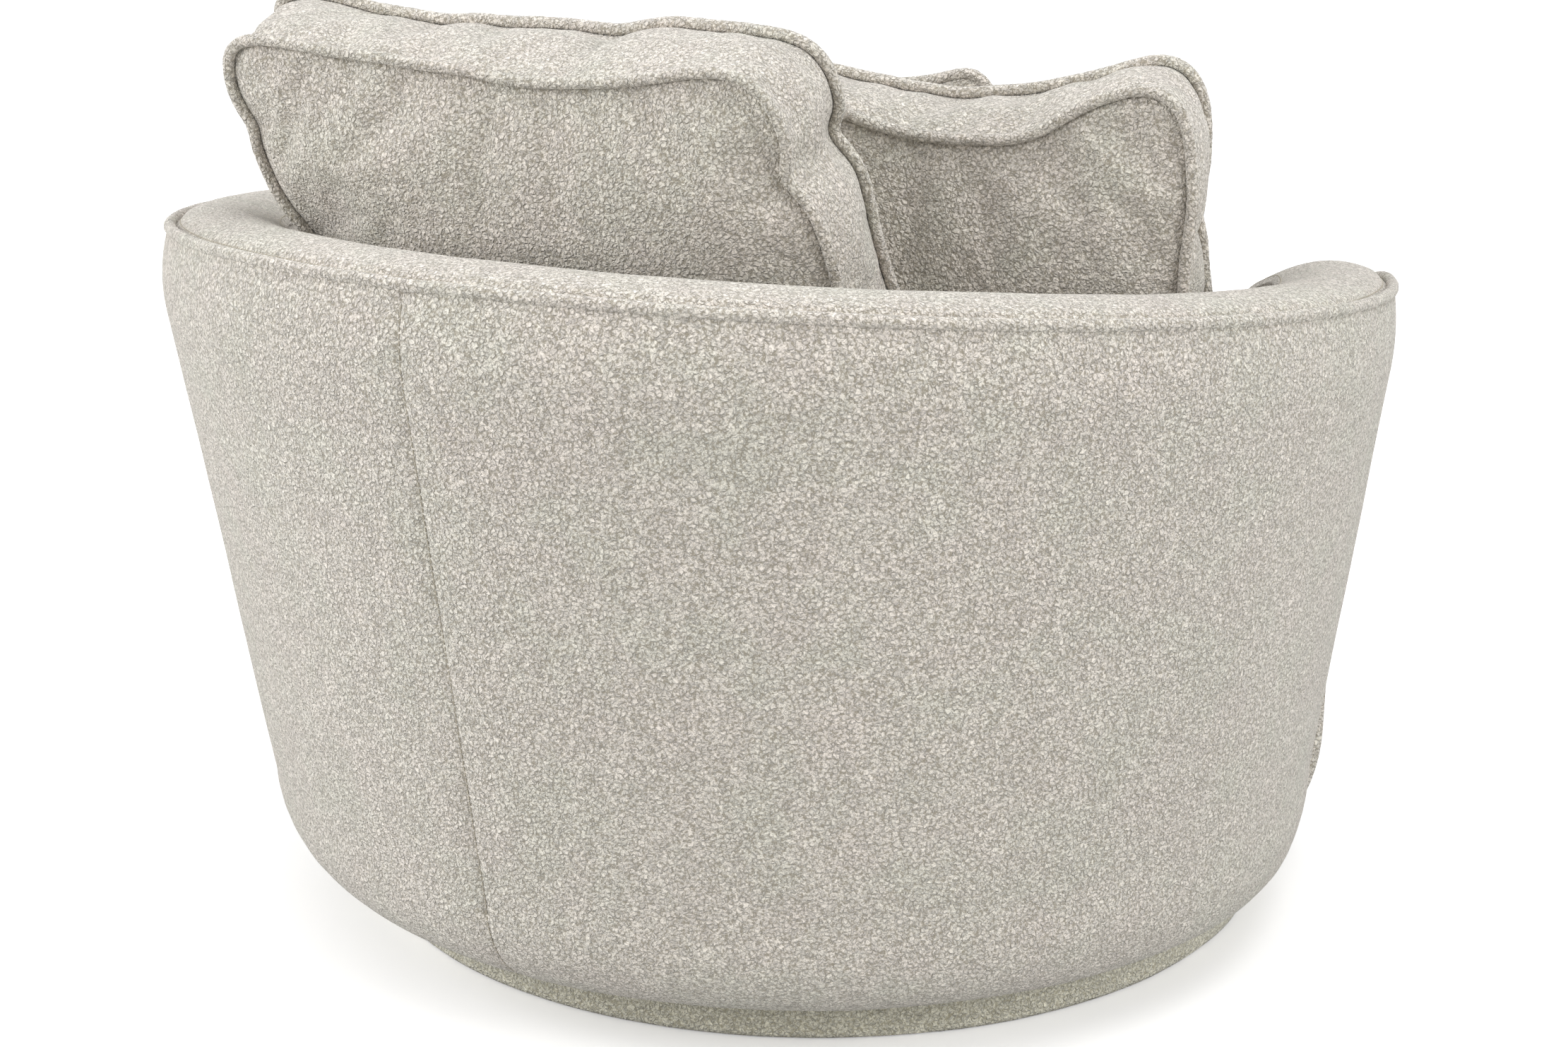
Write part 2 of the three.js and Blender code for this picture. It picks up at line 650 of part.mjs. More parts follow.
function buildRim() {
    add('band_cover', 'boucle', sweepWall(wallAngles, (angle) => {
        const line = bandLine(angle);
        return warped(angle, [line, offsetLine(line, fabric)]);
    }));
    add('band_foam', 'foam', sweepWall(foamAngles, (angle) => {
        const low = rimHeight(angle) - bandFoamDepth + softGap;
        const crown = offsetLine(bandLine(angle), fabric + softGap);
        crown[0][0] = Math.min(crown[0][0], rimRadius - 2 * pipingRadius);
        crown[crown.length - 1][0] = innerReach(rimHeight(angle)) + fabric + softGap;
        return warped(angle, [crown, crown.map(([reach]) => [reach, low])]);
    }));
    const piping = wallAngles.map((angle) => {
        const [reach, height] = armPoint(angle, [rimRadius, rimHeight(angle)]);
        const clear = (pipingClearShare * pipingRadius * (rimRadius - reach)) / bandWidth;
        return new THREE.Vector3(...place(angle, [reach - fitGap + clear, height]));
    });
    add('rim_piping', 'boucle', tube(piping, pipingRadius, () => new THREE.Vector3(0, 0, 1), false));
}

function buildInnerWall() {
    const seamHeight = (angle) => rimHeight(angle) - bandInnerDrop - fabric;
    add('inner_cover', 'boucle', sweepWall(wallAngles, (angle) => {
        const heights = [wallFloor, rimHeight(angle) - tubTuckDepth, seamHeight(angle)];
        const line = heights.map((height) => [innerReach(height), height]);
        return warped(angle, [line.map(([reach, height]) => [reach + fabric, height]), line]);
    }));
    add('inner_foam', 'foam', sweepWall(foamAngles, (angle) => {
        const top = rimHeight(angle);
        const heights = [wallFloor, top - tubTuckDepth, top - bandFoamDepth];
        const line = heights.map((height) => [innerReach(height) + fabric + softGap, height]);
        return warped(angle, [line.map(([reach, height]) => [reach + wallFoam, height]), line]);
    }));
}

// Apron: a bowed board with foam and cover across the front, under the arms' ends
function buildApron() {
    const boardOuter = apronRadius - apronFoam - fabric;
    const coverLine = (angle) => {
        const foot = footRoundShares.map((share) => {
            const height = mix(tubFootHeight, hemHeight, share);
            return [apronReach(angle, height), height];
        });
        const upper = [
            [apronRadius, tubFootHeight], [apronRadius, deckHeight - apronEdgeRound],
            [apronRadius - apronEdgeRound * apronEdgeShare, deckHeight - apronEdgeRound * apronEdgeShare],
            [apronRadius - apronEdgeRound, deckHeight], [apronRadius - apronFlap, deckHeight],
        ].map(([radius, height]) => [swivelReach(angle, radius), height]);
        const hemReach = swivelReach(angle, hemRadius);
        return [[hemReach - hemFlap, hemHeight], [hemReach, hemHeight], ...foot, ...upper];
    };
    add('apron_cover', 'boucle', sweepWall(apronSweep(fitGap), (angle) => {
        const line = coverLine(angle);
        return [line, offsetLine(line, fabric)];
    }));
    add('apron_foam', 'foam', sweepWall(apronSweep(fabric), (angle) => {
        const heights = [seatBoardTop + fitGap, tubFootHeight, deckHeight - apronEdgeRound - fabric];
        const line = heights.map((height) => [apronReach(angle, height) - 2 * fabric, height]);
        line.push([swivelReach(angle, apronRadius - apronEdgeRound - fabric), deckHeight - fabric - fitGap]);
        const back = swivelReach(angle, boardOuter + fitGap);
        return [line, line.map(([, height]) => [back, height])];
    }));
    add('apron_board', 'plywood', sweepWall(apronSweep(fabric), (angle) => {
        const reach = [swivelReach(angle, boardOuter), swivelReach(angle, boardOuter - apronBoard)];
        return reach.map((line) => [[line, seatBoardTop + fitGap], [line, boardTop]]);
    }));
}

// Reach of the seat's outline: round inside the wall, then out between the arms to the bowed front
function seatReach(angle, side, front) {
    const turn = Math.abs(Math.atan2(Math.sin(angle), Math.cos(angle)));
    const earWidth = radians(seatEarEndDegrees - seatEarStartDegrees);
    const share = clampShare((turn - radians(seatEarStartDegrees)) / earWidth);
    return mix(side, swivelReach(angle, front), share * share * (3 - 2 * share));
}

// Angles round the seat from its front: bowed front, ear, round side, and the same back again
function seatAngles(thinned = 1) {
    const [earEnd, earStart] = [radians(seatEarEndDegrees), radians(seatEarStartDegrees)];
    const steps = (from, to, count) => [...Array(count).keys()].map((k) => mix(from, to, k / count));
    const half = [
        ...steps(Math.PI, earEnd, seatFrontFacets),
        ...steps(earEnd, earStart, seatEarFacets / thinned),
        ...steps(earStart, 0, seatSideFacets / thinned),
    ];
    return [...half, 0, ...half.slice(1).reverse().map((angle) => -angle)];
}

function buildDeck() {
    const innerRadius = apronRadius - apronFoam - fabric - ribGap;
    const padPoint = (angle) => place(angle, [seatReach(angle, seatSideRadius, innerRadius), 0]);
    const outline = seatAngles().map(padPoint);
    add('deck_pad', 'foam', plate(outline, deckPadFloor, deckPad - fitGap));
    const railY = rimY + seatSideRadius - rearRailSetIn;
    const railHeight = boardTop - seatBoardTop - fitGap;
    const rail = new THREE.BoxGeometry(2 * seatSideRadius * rearRailShare, rearRailThickness, railHeight);
    add('rear_rail', 'plywood', rail.translate(0, railY, (boardTop + seatBoardTop + fitGap) / 2));
    for (let i = 0; i < strapCount; i += 1) {
        const x = (i - (strapCount - 1) / 2) * strapSpacing;
        const corner = Math.abs(x) + strapWidth / 2;
        const front = swivelY - Math.sqrt(innerRadius * innerRadius - corner * corner);
        const back = railY + rearRailThickness / 2;
        const strap = new THREE.BoxGeometry(strapWidth, back - front, strapThickness);
        strap.translate(x, (back + front) / 2, strapFloor + strapThickness / 2);
        add(`seat_strap_${i + 1}`, 'webbing', strap);
    }
}

// A closed pad of rings round the seat's outline: each row is a share of its reach, a height and an outset
function seatForm(angles, inset, rows) {
    const vertices = [];
    const faces = [];
    const facets = angles.length;
    for (const [reachShare, height, outset] of rows) {
        angles.forEach((angle) => {
            const reach = seatReach(angle, seatSideRadius - inset, seatFrontRadius - inset);
            vertices.push(place(angle, [reach * reachShare + outset, height]));
        });
    }
    for (let row = 0; row < rows.length - 1; row += 1) {
        for (let k = 0; k < facets; k += 1) {
            const next = (k + 1) % facets;
            const [a, b] = [row * facets + k, row * facets + next];
            faces.push([a, b, b + facets], [a, b + facets, a + facets]);
        }
    }
    const low = vertices.push([0, rimY, rows[0][1]]) - 1;
    const high = vertices.push([0, rimY, rows[rows.length - 1][1]]) - 1;
    const top = (rows.length - 1) * facets;
    for (let k = 0; k < facets; k += 1) {
        const next = (k + 1) % facets;
        faces.push([low, next, k], [high, top + k, top + next]);
    }
    return closedGeometry(vertices, faces);
}

function buildSeatCushion() {
    const middle = (seatFloor + seatTopEdge) / 2;
    const cover = seatForm(seatAngles(), 0, [
        [seatFootShare, seatFloor, 0], [1, seatFloor + cushionPiping, 0], [1, middle, seatBulge],
        [1, seatTopEdge - cushionPiping / 2, 0],
        ...seatCrownShares.map(([reach, rise]) => [reach, seatTopEdge + seatCrown * rise, 0]),
    ]);
    const core = (clearance) => seatForm(seatAngles(2), cushionSkin + clearance, [
        [1, seatFloor + cushionSkin + clearance, 0], [1, seatTopEdge - cushionSkin - clearance, 0],
        [seatCoreShare, seatTopEdge + seatCrown * seatCoreRiseShare - cushionSkin - clearance, 0],
    ]);
    const zipDepth = 2 * (cushionSkin + seatBulge);
    const zip = new THREE.BoxGeometry(2 * seatSideRadius * zipShare, zipDepth, zipWidth);
    zip.translate(0, rimY + seatSideRadius, middle);
    add('seat_cushion_cover', 'boucle', cut(cover, core(0), zip));
    add('seat_cushion_foam', 'foam', core(fitGap));
    const loop = (height) => outsetLoop(seatAngles().map((angle) => (
        new THREE.Vector3(...place(angle, [seatReach(angle, seatSideRadius, seatFrontRadius), height]))
    )), cushionPiping + fitGap);
    const up = () => new THREE.Vector3(0, 0, 1);
    add('seat_piping_lower', 'boucle', tube(loop(seatFloor + cushionPiping), cushionPiping, up, true));
    add('seat_piping_upper', 'boucle', tube(loop(seatTopEdge - cushionPiping), cushionPiping, up, true));
}

// Where a point of the unit cube goes on a cushion: round corners, drawn-in sides, a crown and wavy edges
function cushionPoint(form, [a, b, c], wavy) {
    const far = Math.max(Math.abs(a), Math.abs(b));
    const norm = (Math.abs(a) ** cornerPower + Math.abs(b) ** cornerPower) ** (1 / cornerPower);
    const [x, y] = far > 0 ? [(a * far) / norm, (b * far) / norm] : [0, 0];
    const edgeShare = far ** edgePower;
    const outset = form.borderBulge * edgeShare * (1 - c * c);
    const halfWidth = (form.width / 2) * (1 - form.drawInShare * (1 - b * b)) + outset;
    const halfHeight = (form.height / 2) * (1 - form.drawInShare * (1 - a * a)) + outset;
    const crown = form.crown * (1 - Math.abs(a) ** crownPower) * (1 - Math.abs(b) ** crownPower);
    const wave = wavy ? form.wave * edgeShare * Math.sin(form.waveCount * Math.atan2(b, a)) : 0;
    return [x * halfWidth, y * halfHeight, c * (form.border / 2 + crown) + wave];
}

function cushionForm(form, grid, wavy) {
    const geometry = new THREE.BoxGeometry(2, 2, 2, grid.columns, grid.rows, grid.layers);
    const spots = geometry.attributes.position;
    for (let i = 0; i < spots.count; i += 1) {
        spots.setXYZ(i, ...cushionPoint(form, [spots.getX(i), spots.getY(i), spots.getZ(i)], wavy));
    }
    geometry.deleteAttribute('normal');
    geometry.deleteAttribute('uv');
    return mergeVertices(geometry);
}

// Edge points of one face in order, moved outwards and away from the face
function edgeLoop(form, face, outwards, proud) {
    const { columns, rows } = form;
    const side = (count, spot) => [...Array(count).keys()].map((i) => spot((2 * i) / count - 1));
    const spots = [
        ...side(columns, (along) => [along, -1]),
        ...side(rows, (along) => [1, along]),
        ...side(columns, (along) => [-along, 1]),
        ...side(rows, (along) => [-1, -along]),
    ];
    const line = spots.map(([a, b]) => new THREE.Vector3(...cushionPoint(form, [a, b, face], true)));
    return outsetLoop(line, outwards).map((point) => point.add(new THREE.Vector3(0, 0, face * proud)));
}

function cushionFrame({ across, back, turn, lean }, form) {
    const [azimuth, tilt] = [radians(turn), radians(lean)];
    const out = new THREE.Vector3(Math.sin(azimuth), Math.cos(azimuth), 0);
    const up = new THREE.Vector3(0, 0, Math.cos(tilt)).addScaledVector(out, Math.sin(tilt));
    const depth = out.clone().multiplyScalar(Math.cos(tilt)).add(new THREE.Vector3(0, 0, -Math.sin(tilt)));
    const width = up.clone().cross(depth);
    const frame = new THREE.Group();
    frame.matrixAutoUpdate = false;
    const centre = new THREE.Vector3(across, rimY + back, seatTopEdge + seatCrown);
    centre.addScaledVector(up, form.height / 2 + cushionPiping).addScaledVector(depth, -form.border / 2);
    frame.matrix.makeBasis(width, up, depth).setPosition(centre);
    group.add(frame);
    return frame;
}

// Height of the seat cushion's crowned top at a place in plan
function seatTopAt(x, y) {
    const angle = Math.atan2(x, y - rimY);
    const share = Math.hypot(x, y - rimY) / seatReach(angle, seatSideRadius, seatFrontRadius);
    const rows = [[1, 0], ...seatCrownShares, [0, seatCrownShares[seatCrownShares.length - 1][1]]];
    const row = Math.max(1, rows.findIndex(([reach]) => reach <= share));
    const [outer, inner] = [rows[row - 1], rows[row]];
    const along = clampShare((outer[0] - share) / (outer[0] - inner[0]));
    return seatTopEdge + seatCrown * mix(outer[1], inner[1], along);
}

// Lowers a cushion until its lowest edge rests on the seat
function settle(frame) {
    const spot = new THREE.Vector3();
    let clear = Infinity;
    for (const { geometry } of frame.children) {
        const spots = geometry.attributes.position;
        for (let i = 0; i < spots.count; i += 1) {
            spot.fromBufferAttribute(spots, i).applyMatrix4(frame.matrix);
            clear = Math.min(clear, spot.z - seatTopAt(spot.x, spot.y));
        }
    }
    frame.matrix.premultiply(new THREE.Matrix4().makeTranslation(0, 0, fitGap - clear));
}

function buildScatter(name, form, frame, skin, coreBorder, pipingNames) {
    const inner = (clearance) => cushionForm({
        ...form,
        width: form.width - 2 * (skin + clearance),
        height: form.height - 2 * (skin + clearance),
        border: coreBorder - 2 * clearance,
        crown: form.crown - (form.border > coreBorder + skin ? 0 : skin / 2),
        borderBulge: 0,
    }, coreGrid, false);
    const zipDepth = 2 * (skin + form.height * form.drawInShare);
    const zip = new THREE.BoxGeometry(form.width * zipShare, zipDepth, Math.min(zipWidth, coreBorder / 2));
    zip.translate(0, -form.height / 2, 0);
    add(`${name}_cover`, 'boucle', cut(cushionForm(form, form, true), inner(0), zip), frame);
    add(`${name}_fill`, 'fibre', inner(fitGap), frame);
    const sideways = new THREE.Vector3(0, 0, 1);
    const faces = pipingNames.length === 2 ? [1, -1] : [0];
    faces.forEach((face, i) => {
        const away = cushionPiping + fitGap;
        const loop = edgeLoop(form, face, face ? away * sidePipingShare : away, away * proudPipingShare);
        add(`${name}_${pipingNames[i]}`, 'boucle', tube(loop, cushionPiping, () => sideways, true), frame);
    });
    settle(frame);
}

function buildScatterCushions() {
    const sided = ['piping_back', 'piping_front'];
    const core = (form) => form.border - 2 * cushionSkin;
    buildScatter('scatter_large', scatterLarge, cushionFrame(scatterPlaces.large, scatterLarge),
        cushionSkin, core(scatterLarge), sided);
    buildScatter('scatter_medium', scatterMedium, cushionFrame(scatterPlaces.medium, scatterMedium),
        cushionSkin, core(scatterMedium), sided);
    buildScatter('scatter_small', scatterSmall, cushionFrame(scatterPlaces.small, scatterSmall),
        scatterSmallSkin, scatterSmall.border * smallCoreShare, ['piping']);
}

buildPlinth();
buildSwivel();
buildSeatBoard();
buildOuterCovers();
buildRibs();
buildRim();
buildInnerWall();
buildApron();
buildDeck();
buildSeatCushion();
buildScatterCushions();

export default group;
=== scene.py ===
"""Looks of a round swivelling cuddle chair: covers, pipings, cushions, frame finishes and the stage around it."""
import json
import math

import bmesh
import bpy
import numpy as np
from bpy.props import FloatProperty, FloatVectorProperty, IntProperty, PointerProperty
from mathutils import Matrix, Vector, noise
from mathutils.geometry import delaunay_2d_cdt


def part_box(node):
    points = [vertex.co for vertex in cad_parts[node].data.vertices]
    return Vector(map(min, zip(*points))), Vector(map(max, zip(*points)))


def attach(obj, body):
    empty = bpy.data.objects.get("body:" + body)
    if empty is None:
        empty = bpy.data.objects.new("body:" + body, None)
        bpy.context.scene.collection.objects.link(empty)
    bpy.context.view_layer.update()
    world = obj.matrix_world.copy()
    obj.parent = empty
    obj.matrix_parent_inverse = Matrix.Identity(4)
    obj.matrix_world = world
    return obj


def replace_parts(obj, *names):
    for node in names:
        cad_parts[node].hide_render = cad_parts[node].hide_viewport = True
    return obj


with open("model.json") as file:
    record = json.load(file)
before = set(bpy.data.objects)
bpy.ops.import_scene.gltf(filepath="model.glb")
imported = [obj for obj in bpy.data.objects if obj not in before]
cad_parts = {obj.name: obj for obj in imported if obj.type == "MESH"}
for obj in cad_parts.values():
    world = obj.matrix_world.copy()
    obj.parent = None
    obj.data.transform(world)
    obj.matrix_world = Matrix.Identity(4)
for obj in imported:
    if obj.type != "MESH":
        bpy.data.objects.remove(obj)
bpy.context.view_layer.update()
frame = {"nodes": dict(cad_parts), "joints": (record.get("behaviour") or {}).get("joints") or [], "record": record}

bl_info = {
    "name": "Cuddle chair",
    "version": (1, 0, 0),
    "blender": (4, 5, 0),
    "location": "3D Viewport > Sidebar > Cuddle Chair",
    "description": "Dresses the packed frame of a round swivelling cuddle chair",
    "category": "Object",
}

MM = 0.001
FULL_TURN = 2 * math.pi


def hex_linear(text):
    """Linear red, green and blue of an sRGB hex value."""
    values = [int(text[i:i + 2], 16) / 255 for i in (1, 3, 5)]
    return tuple(v / 12.92 if v <= 0.04045 else ((v + 0.055) / 1.055) ** 2.4 for v in values)


def length(name, description, millimetres):
    """A length property whose default is given in millimetres."""
    return FloatProperty(name=name, description=description, default=millimetres * MM, unit="LENGTH", min=0)


def share(name, description, default):
    """A plain factor."""
    return FloatProperty(name=name, description=description, default=default, subtype="FACTOR")


def turn(name, description, degrees):
    """An angle property whose default is given in degrees."""
    return FloatProperty(name=name, description=description, default=math.radians(degrees), subtype="ANGLE")


def tint(name, description, text):
    """A colour property whose default is an sRGB hex value."""
    return FloatVectorProperty(name=name, description=description, default=hex_linear(text), subtype="COLOR",
                               min=0, max=1)


class CuddleTubSizes(bpy.types.PropertyGroup):
    """Sizes of the tub and the plinth."""

    rim_radius: length("Rim radius", "Radius of the piped edge", 600)
    rim_height: length("Rim height", "Height of the piped edge at the middle of the back", 727)
    rim_fall: length("Rim fall", "Half of what the rim falls from the back to the front", 57)
    piping_radius: length("Piping radius", "Radius of the rim's piping", 5.8)
    band_width: length("Band width", "Width of the soft band on top of the wall", 110)
    band_crown: length("Band crown", "Rise of the band over its seams", 15)
    band_drop: length("Band drop", "How far the band's inner seam lies below the piping", 6)
    overhang: length("Wall overhang", "How far the wall stands outside the piping", 21.6)
    taper: share("Wall taper", "Radius that the wall loses for each unit downwards", 0.141)
    lean: share("Wall lean", "Forward shift of the wall's circle for each unit downwards", 0.036)
    tuck_depth: length("Tuck depth", "Height over which the wall draws in to the piping", 80)
    foot_height: length("Foot height", "Height where the wall starts to round under", 150)
    hem_height: length("Hem height", "Height of the hem over the floor", 50)
    hem_radius: length("Hem radius", "Radius of the hem about the swivel", 496)
    hem_flap: length("Hem flap", "Width of the cloth stapled under the seat board", 22)
    inner_flare: share("Inner flare", "Radius that the inside loses for each unit downwards", 0.045)
    arm_end: turn("Arm end", "Angle of the arms' ends from the middle of the back", 140)
    arm_round: turn("Arm rounding", "Angle over which an arm's end rounds off", 13)
    arm_drop: length("Arm drop", "How far an arm's top falls at its end", 35)
    fall_start: turn("Fall start", "Angle where the arm's soft top starts to sink", 116)
    fall_turn: turn("Fall turn", "Angle over which the arm's soft top sinks", 22)
    fall_depth: length("Fall depth", "How far the arm's soft top sinks before its end", 30)
    cloth: length("Cloth", "Thickness of the cover cloth", 3)
    plinth_radius: length("Plinth radius", "Outer radius of the plinth's wrap", 473.5)
    apron_radius: length("Apron radius", "Radius of the front apron about the swivel", 540)
    apron_start: turn("Apron start", "Angle where the apron starts, from the middle of the back", 120)
    apron_round: length("Apron rounding", "Radius of the apron's top edge", 25)
    apron_flap: length("Apron flap", "Width of the apron's top", 36)
    ear_lap: turn("Ear lap", "Angle up to which the apron's cloth laps on under the cushion's ears", 152)
    ear_flap: length("Ear flap", "How far the apron's cloth laps on there", 84)


class CuddleCushionSizes(bpy.types.PropertyGroup):
    """Sizes of the loose cushions and of how their cloth fills."""

    mesh_step: length("Mesh step", "Spacing of the cloth's points", 9)
    welt_radius: length("Welt radius", "Radius of the cushions' pipings", 5.5)
    seat_side_radius: length("Seat side radius", "Radius of the seat cushion inside the wall", 453)
    seat_front_radius: length("Seat front radius", "Radius of the seat's bowed front about the swivel", 546)
    ear_start: turn("Ear start", "Angle where the seat starts to widen past the arms", 143)
    ear_end: turn("Ear end", "Angle where the seat reaches its bowed front", 154)
    large_width: length("Large width", "Width of the large scatter cushion", 535)
    large_height: length("Large height", "Height of the large scatter cushion", 500)
    medium_width: length("Medium width", "Width of the medium scatter cushion", 500)
    medium_height: length("Medium height", "Height of the medium scatter cushion", 450)
    border: length("Border", "Depth of the sewn border of both box cushions", 118)
    small_width: length("Small width", "Width and height of the small scatter cushion", 440)
    small_border: length("Small border", "Depth of the small cushion at its edge", 8)
    pressure: FloatProperty(name="Pressure", description="Pressure that fills the cushions' cloth", default=4.0)
    frames: IntProperty(name="Frames", description="Steps of the cloth simulation", default=20, min=2)
    swell_limit: length("Swell limit", "Farthest that the cloth may move as it fills", 26)
    swell_slope: share("Swell slope", "Cloth's swell for each unit of distance from its seam", 0.45)


class CuddleColours(bpy.types.PropertyGroup):
    """Colours of the finishes."""

    loop_light: tint("Loop light", "Crowns of the yarn loops", "#ECE5DA")
    loop_pink: tint("Loop pink", "Crowns of the warmer yarn", "#ECE3D9")
    loop_green: tint("Loop green", "Crowns of the cooler yarn", "#E8E4D7")
    # Painted shade: the colour that the hollows between the loops darken to.
    loop_hollow_shade: tint("Loop gap", "Ground between the loops", "#857D6C")
    # The plinth wrap's colours carry painted light and shade: greener than the covers, as the plinth looks in the
    # shade under the tub, and paler, to make up for the shade of its recess; the gap colour also paints the shade in
    # the hollows.
    wrap_crown_painted_light: tint("Wrap light", "Crowns of the plinth wrap's loops", "#F0ECD8")
    wrap_hollow_shade_and_light: tint("Wrap gap", "Ground of the plinth's wrap", "#9D967E")
    thread: tint("Thread", "Sewing thread", "#B9B1A0")
    foam: tint("Foam", "Upholstery foam", "#E8DCAE")
    fibre: tint("Fibre", "Fibre fill", "#F4F3EE")
    birch: tint("Birch", "Birch plywood face", "#C9A06B")
    hardboard: tint("Hardboard", "Pressed fibre board", "#8B6B4A")
    webbing: tint("Webbing", "Elastic webbing", "#2E2D2B")
    steel: tint("Steel", "Pressed steel", "#8D9094")
    zinc: tint("Zinc", "Zinc plate", "#B9BCC0")
    nylon: tint("Nylon", "Moulded glide", "#26241F")
    floor: tint("Floor", "What the floor throws back on the chair", "#C8C8C6")


# Materials

def rgba(colour):
    """A colour property as four numbers."""
    return (*colour, 1.0)


def add_node(tree, kind, feeds=(), stops=(), **settings):
    """Adds a node, gives it its settings and a ramp's stops, and sets or links its named or numbered sockets."""
    made = tree.nodes.new("ShaderNode" + kind)
    for key, value in settings.items():
        setattr(made, key, value)
    for number, (where, colour) in enumerate(stops):
        elements = made.color_ramp.elements
        element = elements[number] if number < len(elements) else elements.new(where)
        element.position, element.color = where, rgba(colour)
    for socket, source in dict(feeds).items():
        if isinstance(source, bpy.types.NodeSocket):
            tree.links.new(source, made.inputs[socket])
        else:
            made.inputs[socket].default_value = source
    return made


def new_material(name, roughness, **sockets):
    """A material with its node tree and shader, whose uniform values sit on the shader's own sockets."""
    material = bpy.data.materials.new(name)
    material.use_nodes = True
    tree = material.node_tree
    shader = tree.nodes["Principled BSDF"]
    shader.inputs["Roughness"].default_value = roughness
    for key, value in sockets.items():
        shader.inputs[key.replace("_", " ").title().replace("Ior", "IOR")].default_value = value
    place = add_node(tree, "TexCoord").outputs["Object"]
    return material, tree, shader, place


def feed_shader(tree, shader, colour, relief, depth, strength=1.0):
    """Gives a shader its colour, and raises its surface by a relief."""
    bump = add_node(tree, "Bump", {"Height": relief, "Distance": depth, "Strength": strength})
    tree.links.new(colour, shader.inputs["Base Color"])
    tree.links.new(bump.outputs[0], shader.inputs["Normal"])


def two_tone(tree, shader, pattern, levels, colour, shade, relief, depth, strength=1.0):
    """Colours a finish from a share of its colour up to the full colour by a pattern, and gives it its relief."""
    stops = zip(levels, ([v * shade for v in colour], colour))
    tone = add_node(tree, "ValToRGB", {0: pattern}, stops)
    feed_shader(tree, shader, tone.outputs["Color"], relief, depth, strength)


def boucle(name, light, pink, green, gap):
    """Boucle: a looped wool and cotton yarn in a loose basket weave.

    Gives the eye matt round nubs about 4 mm across with frayed edges and hollows between them darkened by painted
    shade, each nub a little lighter or darker than the next, and wide faint drifts from warm to cool.
    """
    nub_size, hollow_size, fray_size, drift_size, nub_height = 4.7 * MM, 3.2 * MM, 4 * MM, 80 * MM, 2 * MM
    material, tree, shader, place = new_material(name, 0.95, specular_ior_level=0.1, sheen_weight=0.5,
                                                 sheen_roughness=0.6)
    fray = add_node(tree, "TexNoise", {"Vector": place, "Scale": 1 / fray_size, "Detail": 1.0, "Roughness": 0.6})
    bend = add_node(tree, "VectorMath", {0: fray.outputs["Color"], 1: (0.5, 0.5, 0.5)}, operation="SUBTRACT")
    push = add_node(tree, "VectorMath", {0: bend.outputs[0], "Scale": 1.3 * nub_size}, operation="SCALE")
    bent = add_node(tree, "VectorMath", {0: place, 1: push.outputs[0]}, operation="ADD").outputs[0]
    nubs = {"Vector": bent, "Scale": 1 / nub_size, "Randomness": 0.95}
    cells = add_node(tree, "TexVoronoi", nubs)
    edges = add_node(tree, "TexVoronoi", nubs, feature="DISTANCE_TO_EDGE").outputs["Distance"]
    crown = add_node(tree, "MapRange", {"Value": edges, "From Min": 0.0, "From Max": 0.4},
                     interpolation_type="SMOOTHSTEP").outputs[0]
    height = add_node(tree, "Math", {0: fray.outputs["Fac"], 1: 0.5, 2: crown}, operation="MULTIPLY_ADD").outputs[0]
    drift = add_node(tree, "TexNoise", {"Vector": place, "Scale": 1 / drift_size, "Detail": 4.0, "Roughness": 0.7})
    tone = add_node(tree, "ValToRGB", {0: drift.outputs["Fac"]}, [(0.36, green), (0.5, light), (0.64, pink)])
    shade = add_node(tree, "SeparateColor", {0: cells.outputs["Color"]}).outputs[0]
    uneven = add_node(tree, "MapRange", {"Value": shade, "To Min": 0.84, "To Max": 1.1}).outputs[0]
    lit = add_node(tree, "VectorMath", {0: tone.outputs["Color"], "Scale": uneven}, operation="SCALE").outputs[0]
    # Painted shade: cover falls to nought near each nub's edge, over a width that this noise varies, and there the
    # colour turns to the gap colour; the bump adds the real relief.
    hollows = add_node(tree, "TexNoise", {"Vector": place, "Scale": 1 / hollow_size, "Detail": 1.0})
    spread = add_node(tree, "MapRange", {"Value": hollows.outputs["Fac"], "From Min": 0.36, "From Max": 0.64,
                                         "To Min": 0.02, "To Max": 0.3}).outputs[0]
    cover = add_node(tree, "MapRange", {"Value": edges, "From Min": -0.06, "From Max": spread},
                     interpolation_type="SMOOTHSTEP").outputs[0]
    colour = add_node(tree, "Mix", {0: cover, 6: rgba(gap), 7: lit}, data_type="RGBA")
    feed_shader(tree, shader, colour.outputs[2], height, nub_height)
    return material


def sewing_thread(name, colour):
    """Spun polyester thread: matt, a shade darker than the cloth, with a fine twist that catches light."""
    ply_size = 0.8 * MM
    material, tree, shader, place = new_material(name, 0.7, specular_ior_level=0.3, sheen_weight=0.2)
    twist = add_node(tree, "TexNoise", {"Vector": place, "Scale": 1 / ply_size, "Detail": 1.0})
    two_tone(tree, shader, twist.outputs["Fac"], (0.35, 0.65), colour, 0.8, twist.outputs["Fac"], 0.2 * MM)
    return material


def speckled(name, colour, grain, depth, shade, roughness, **sockets):
    """A matt body whose grain is small cells or fibres: foam's open pores, fibre fill, pressed board, nylon."""
    material, tree, shader, place = new_material(name, roughness, **sockets)
    cells = add_node(tree, "TexVoronoi", {"Vector": place, "Scale": 1 / grain}).outputs["Distance"]
    cloud = add_node(tree, "TexNoise", {"Vector": place, "Scale": 1 / (12 * grain), "Detail": 3.0})
    blend = add_node(tree, "Math", {0: cells, 1: cloud.outputs["Fac"]}, operation="MULTIPLY").outputs[0]
    two_tone(tree, shader, blend, (0.1, 0.5), colour, shade, cells, depth)
    return material


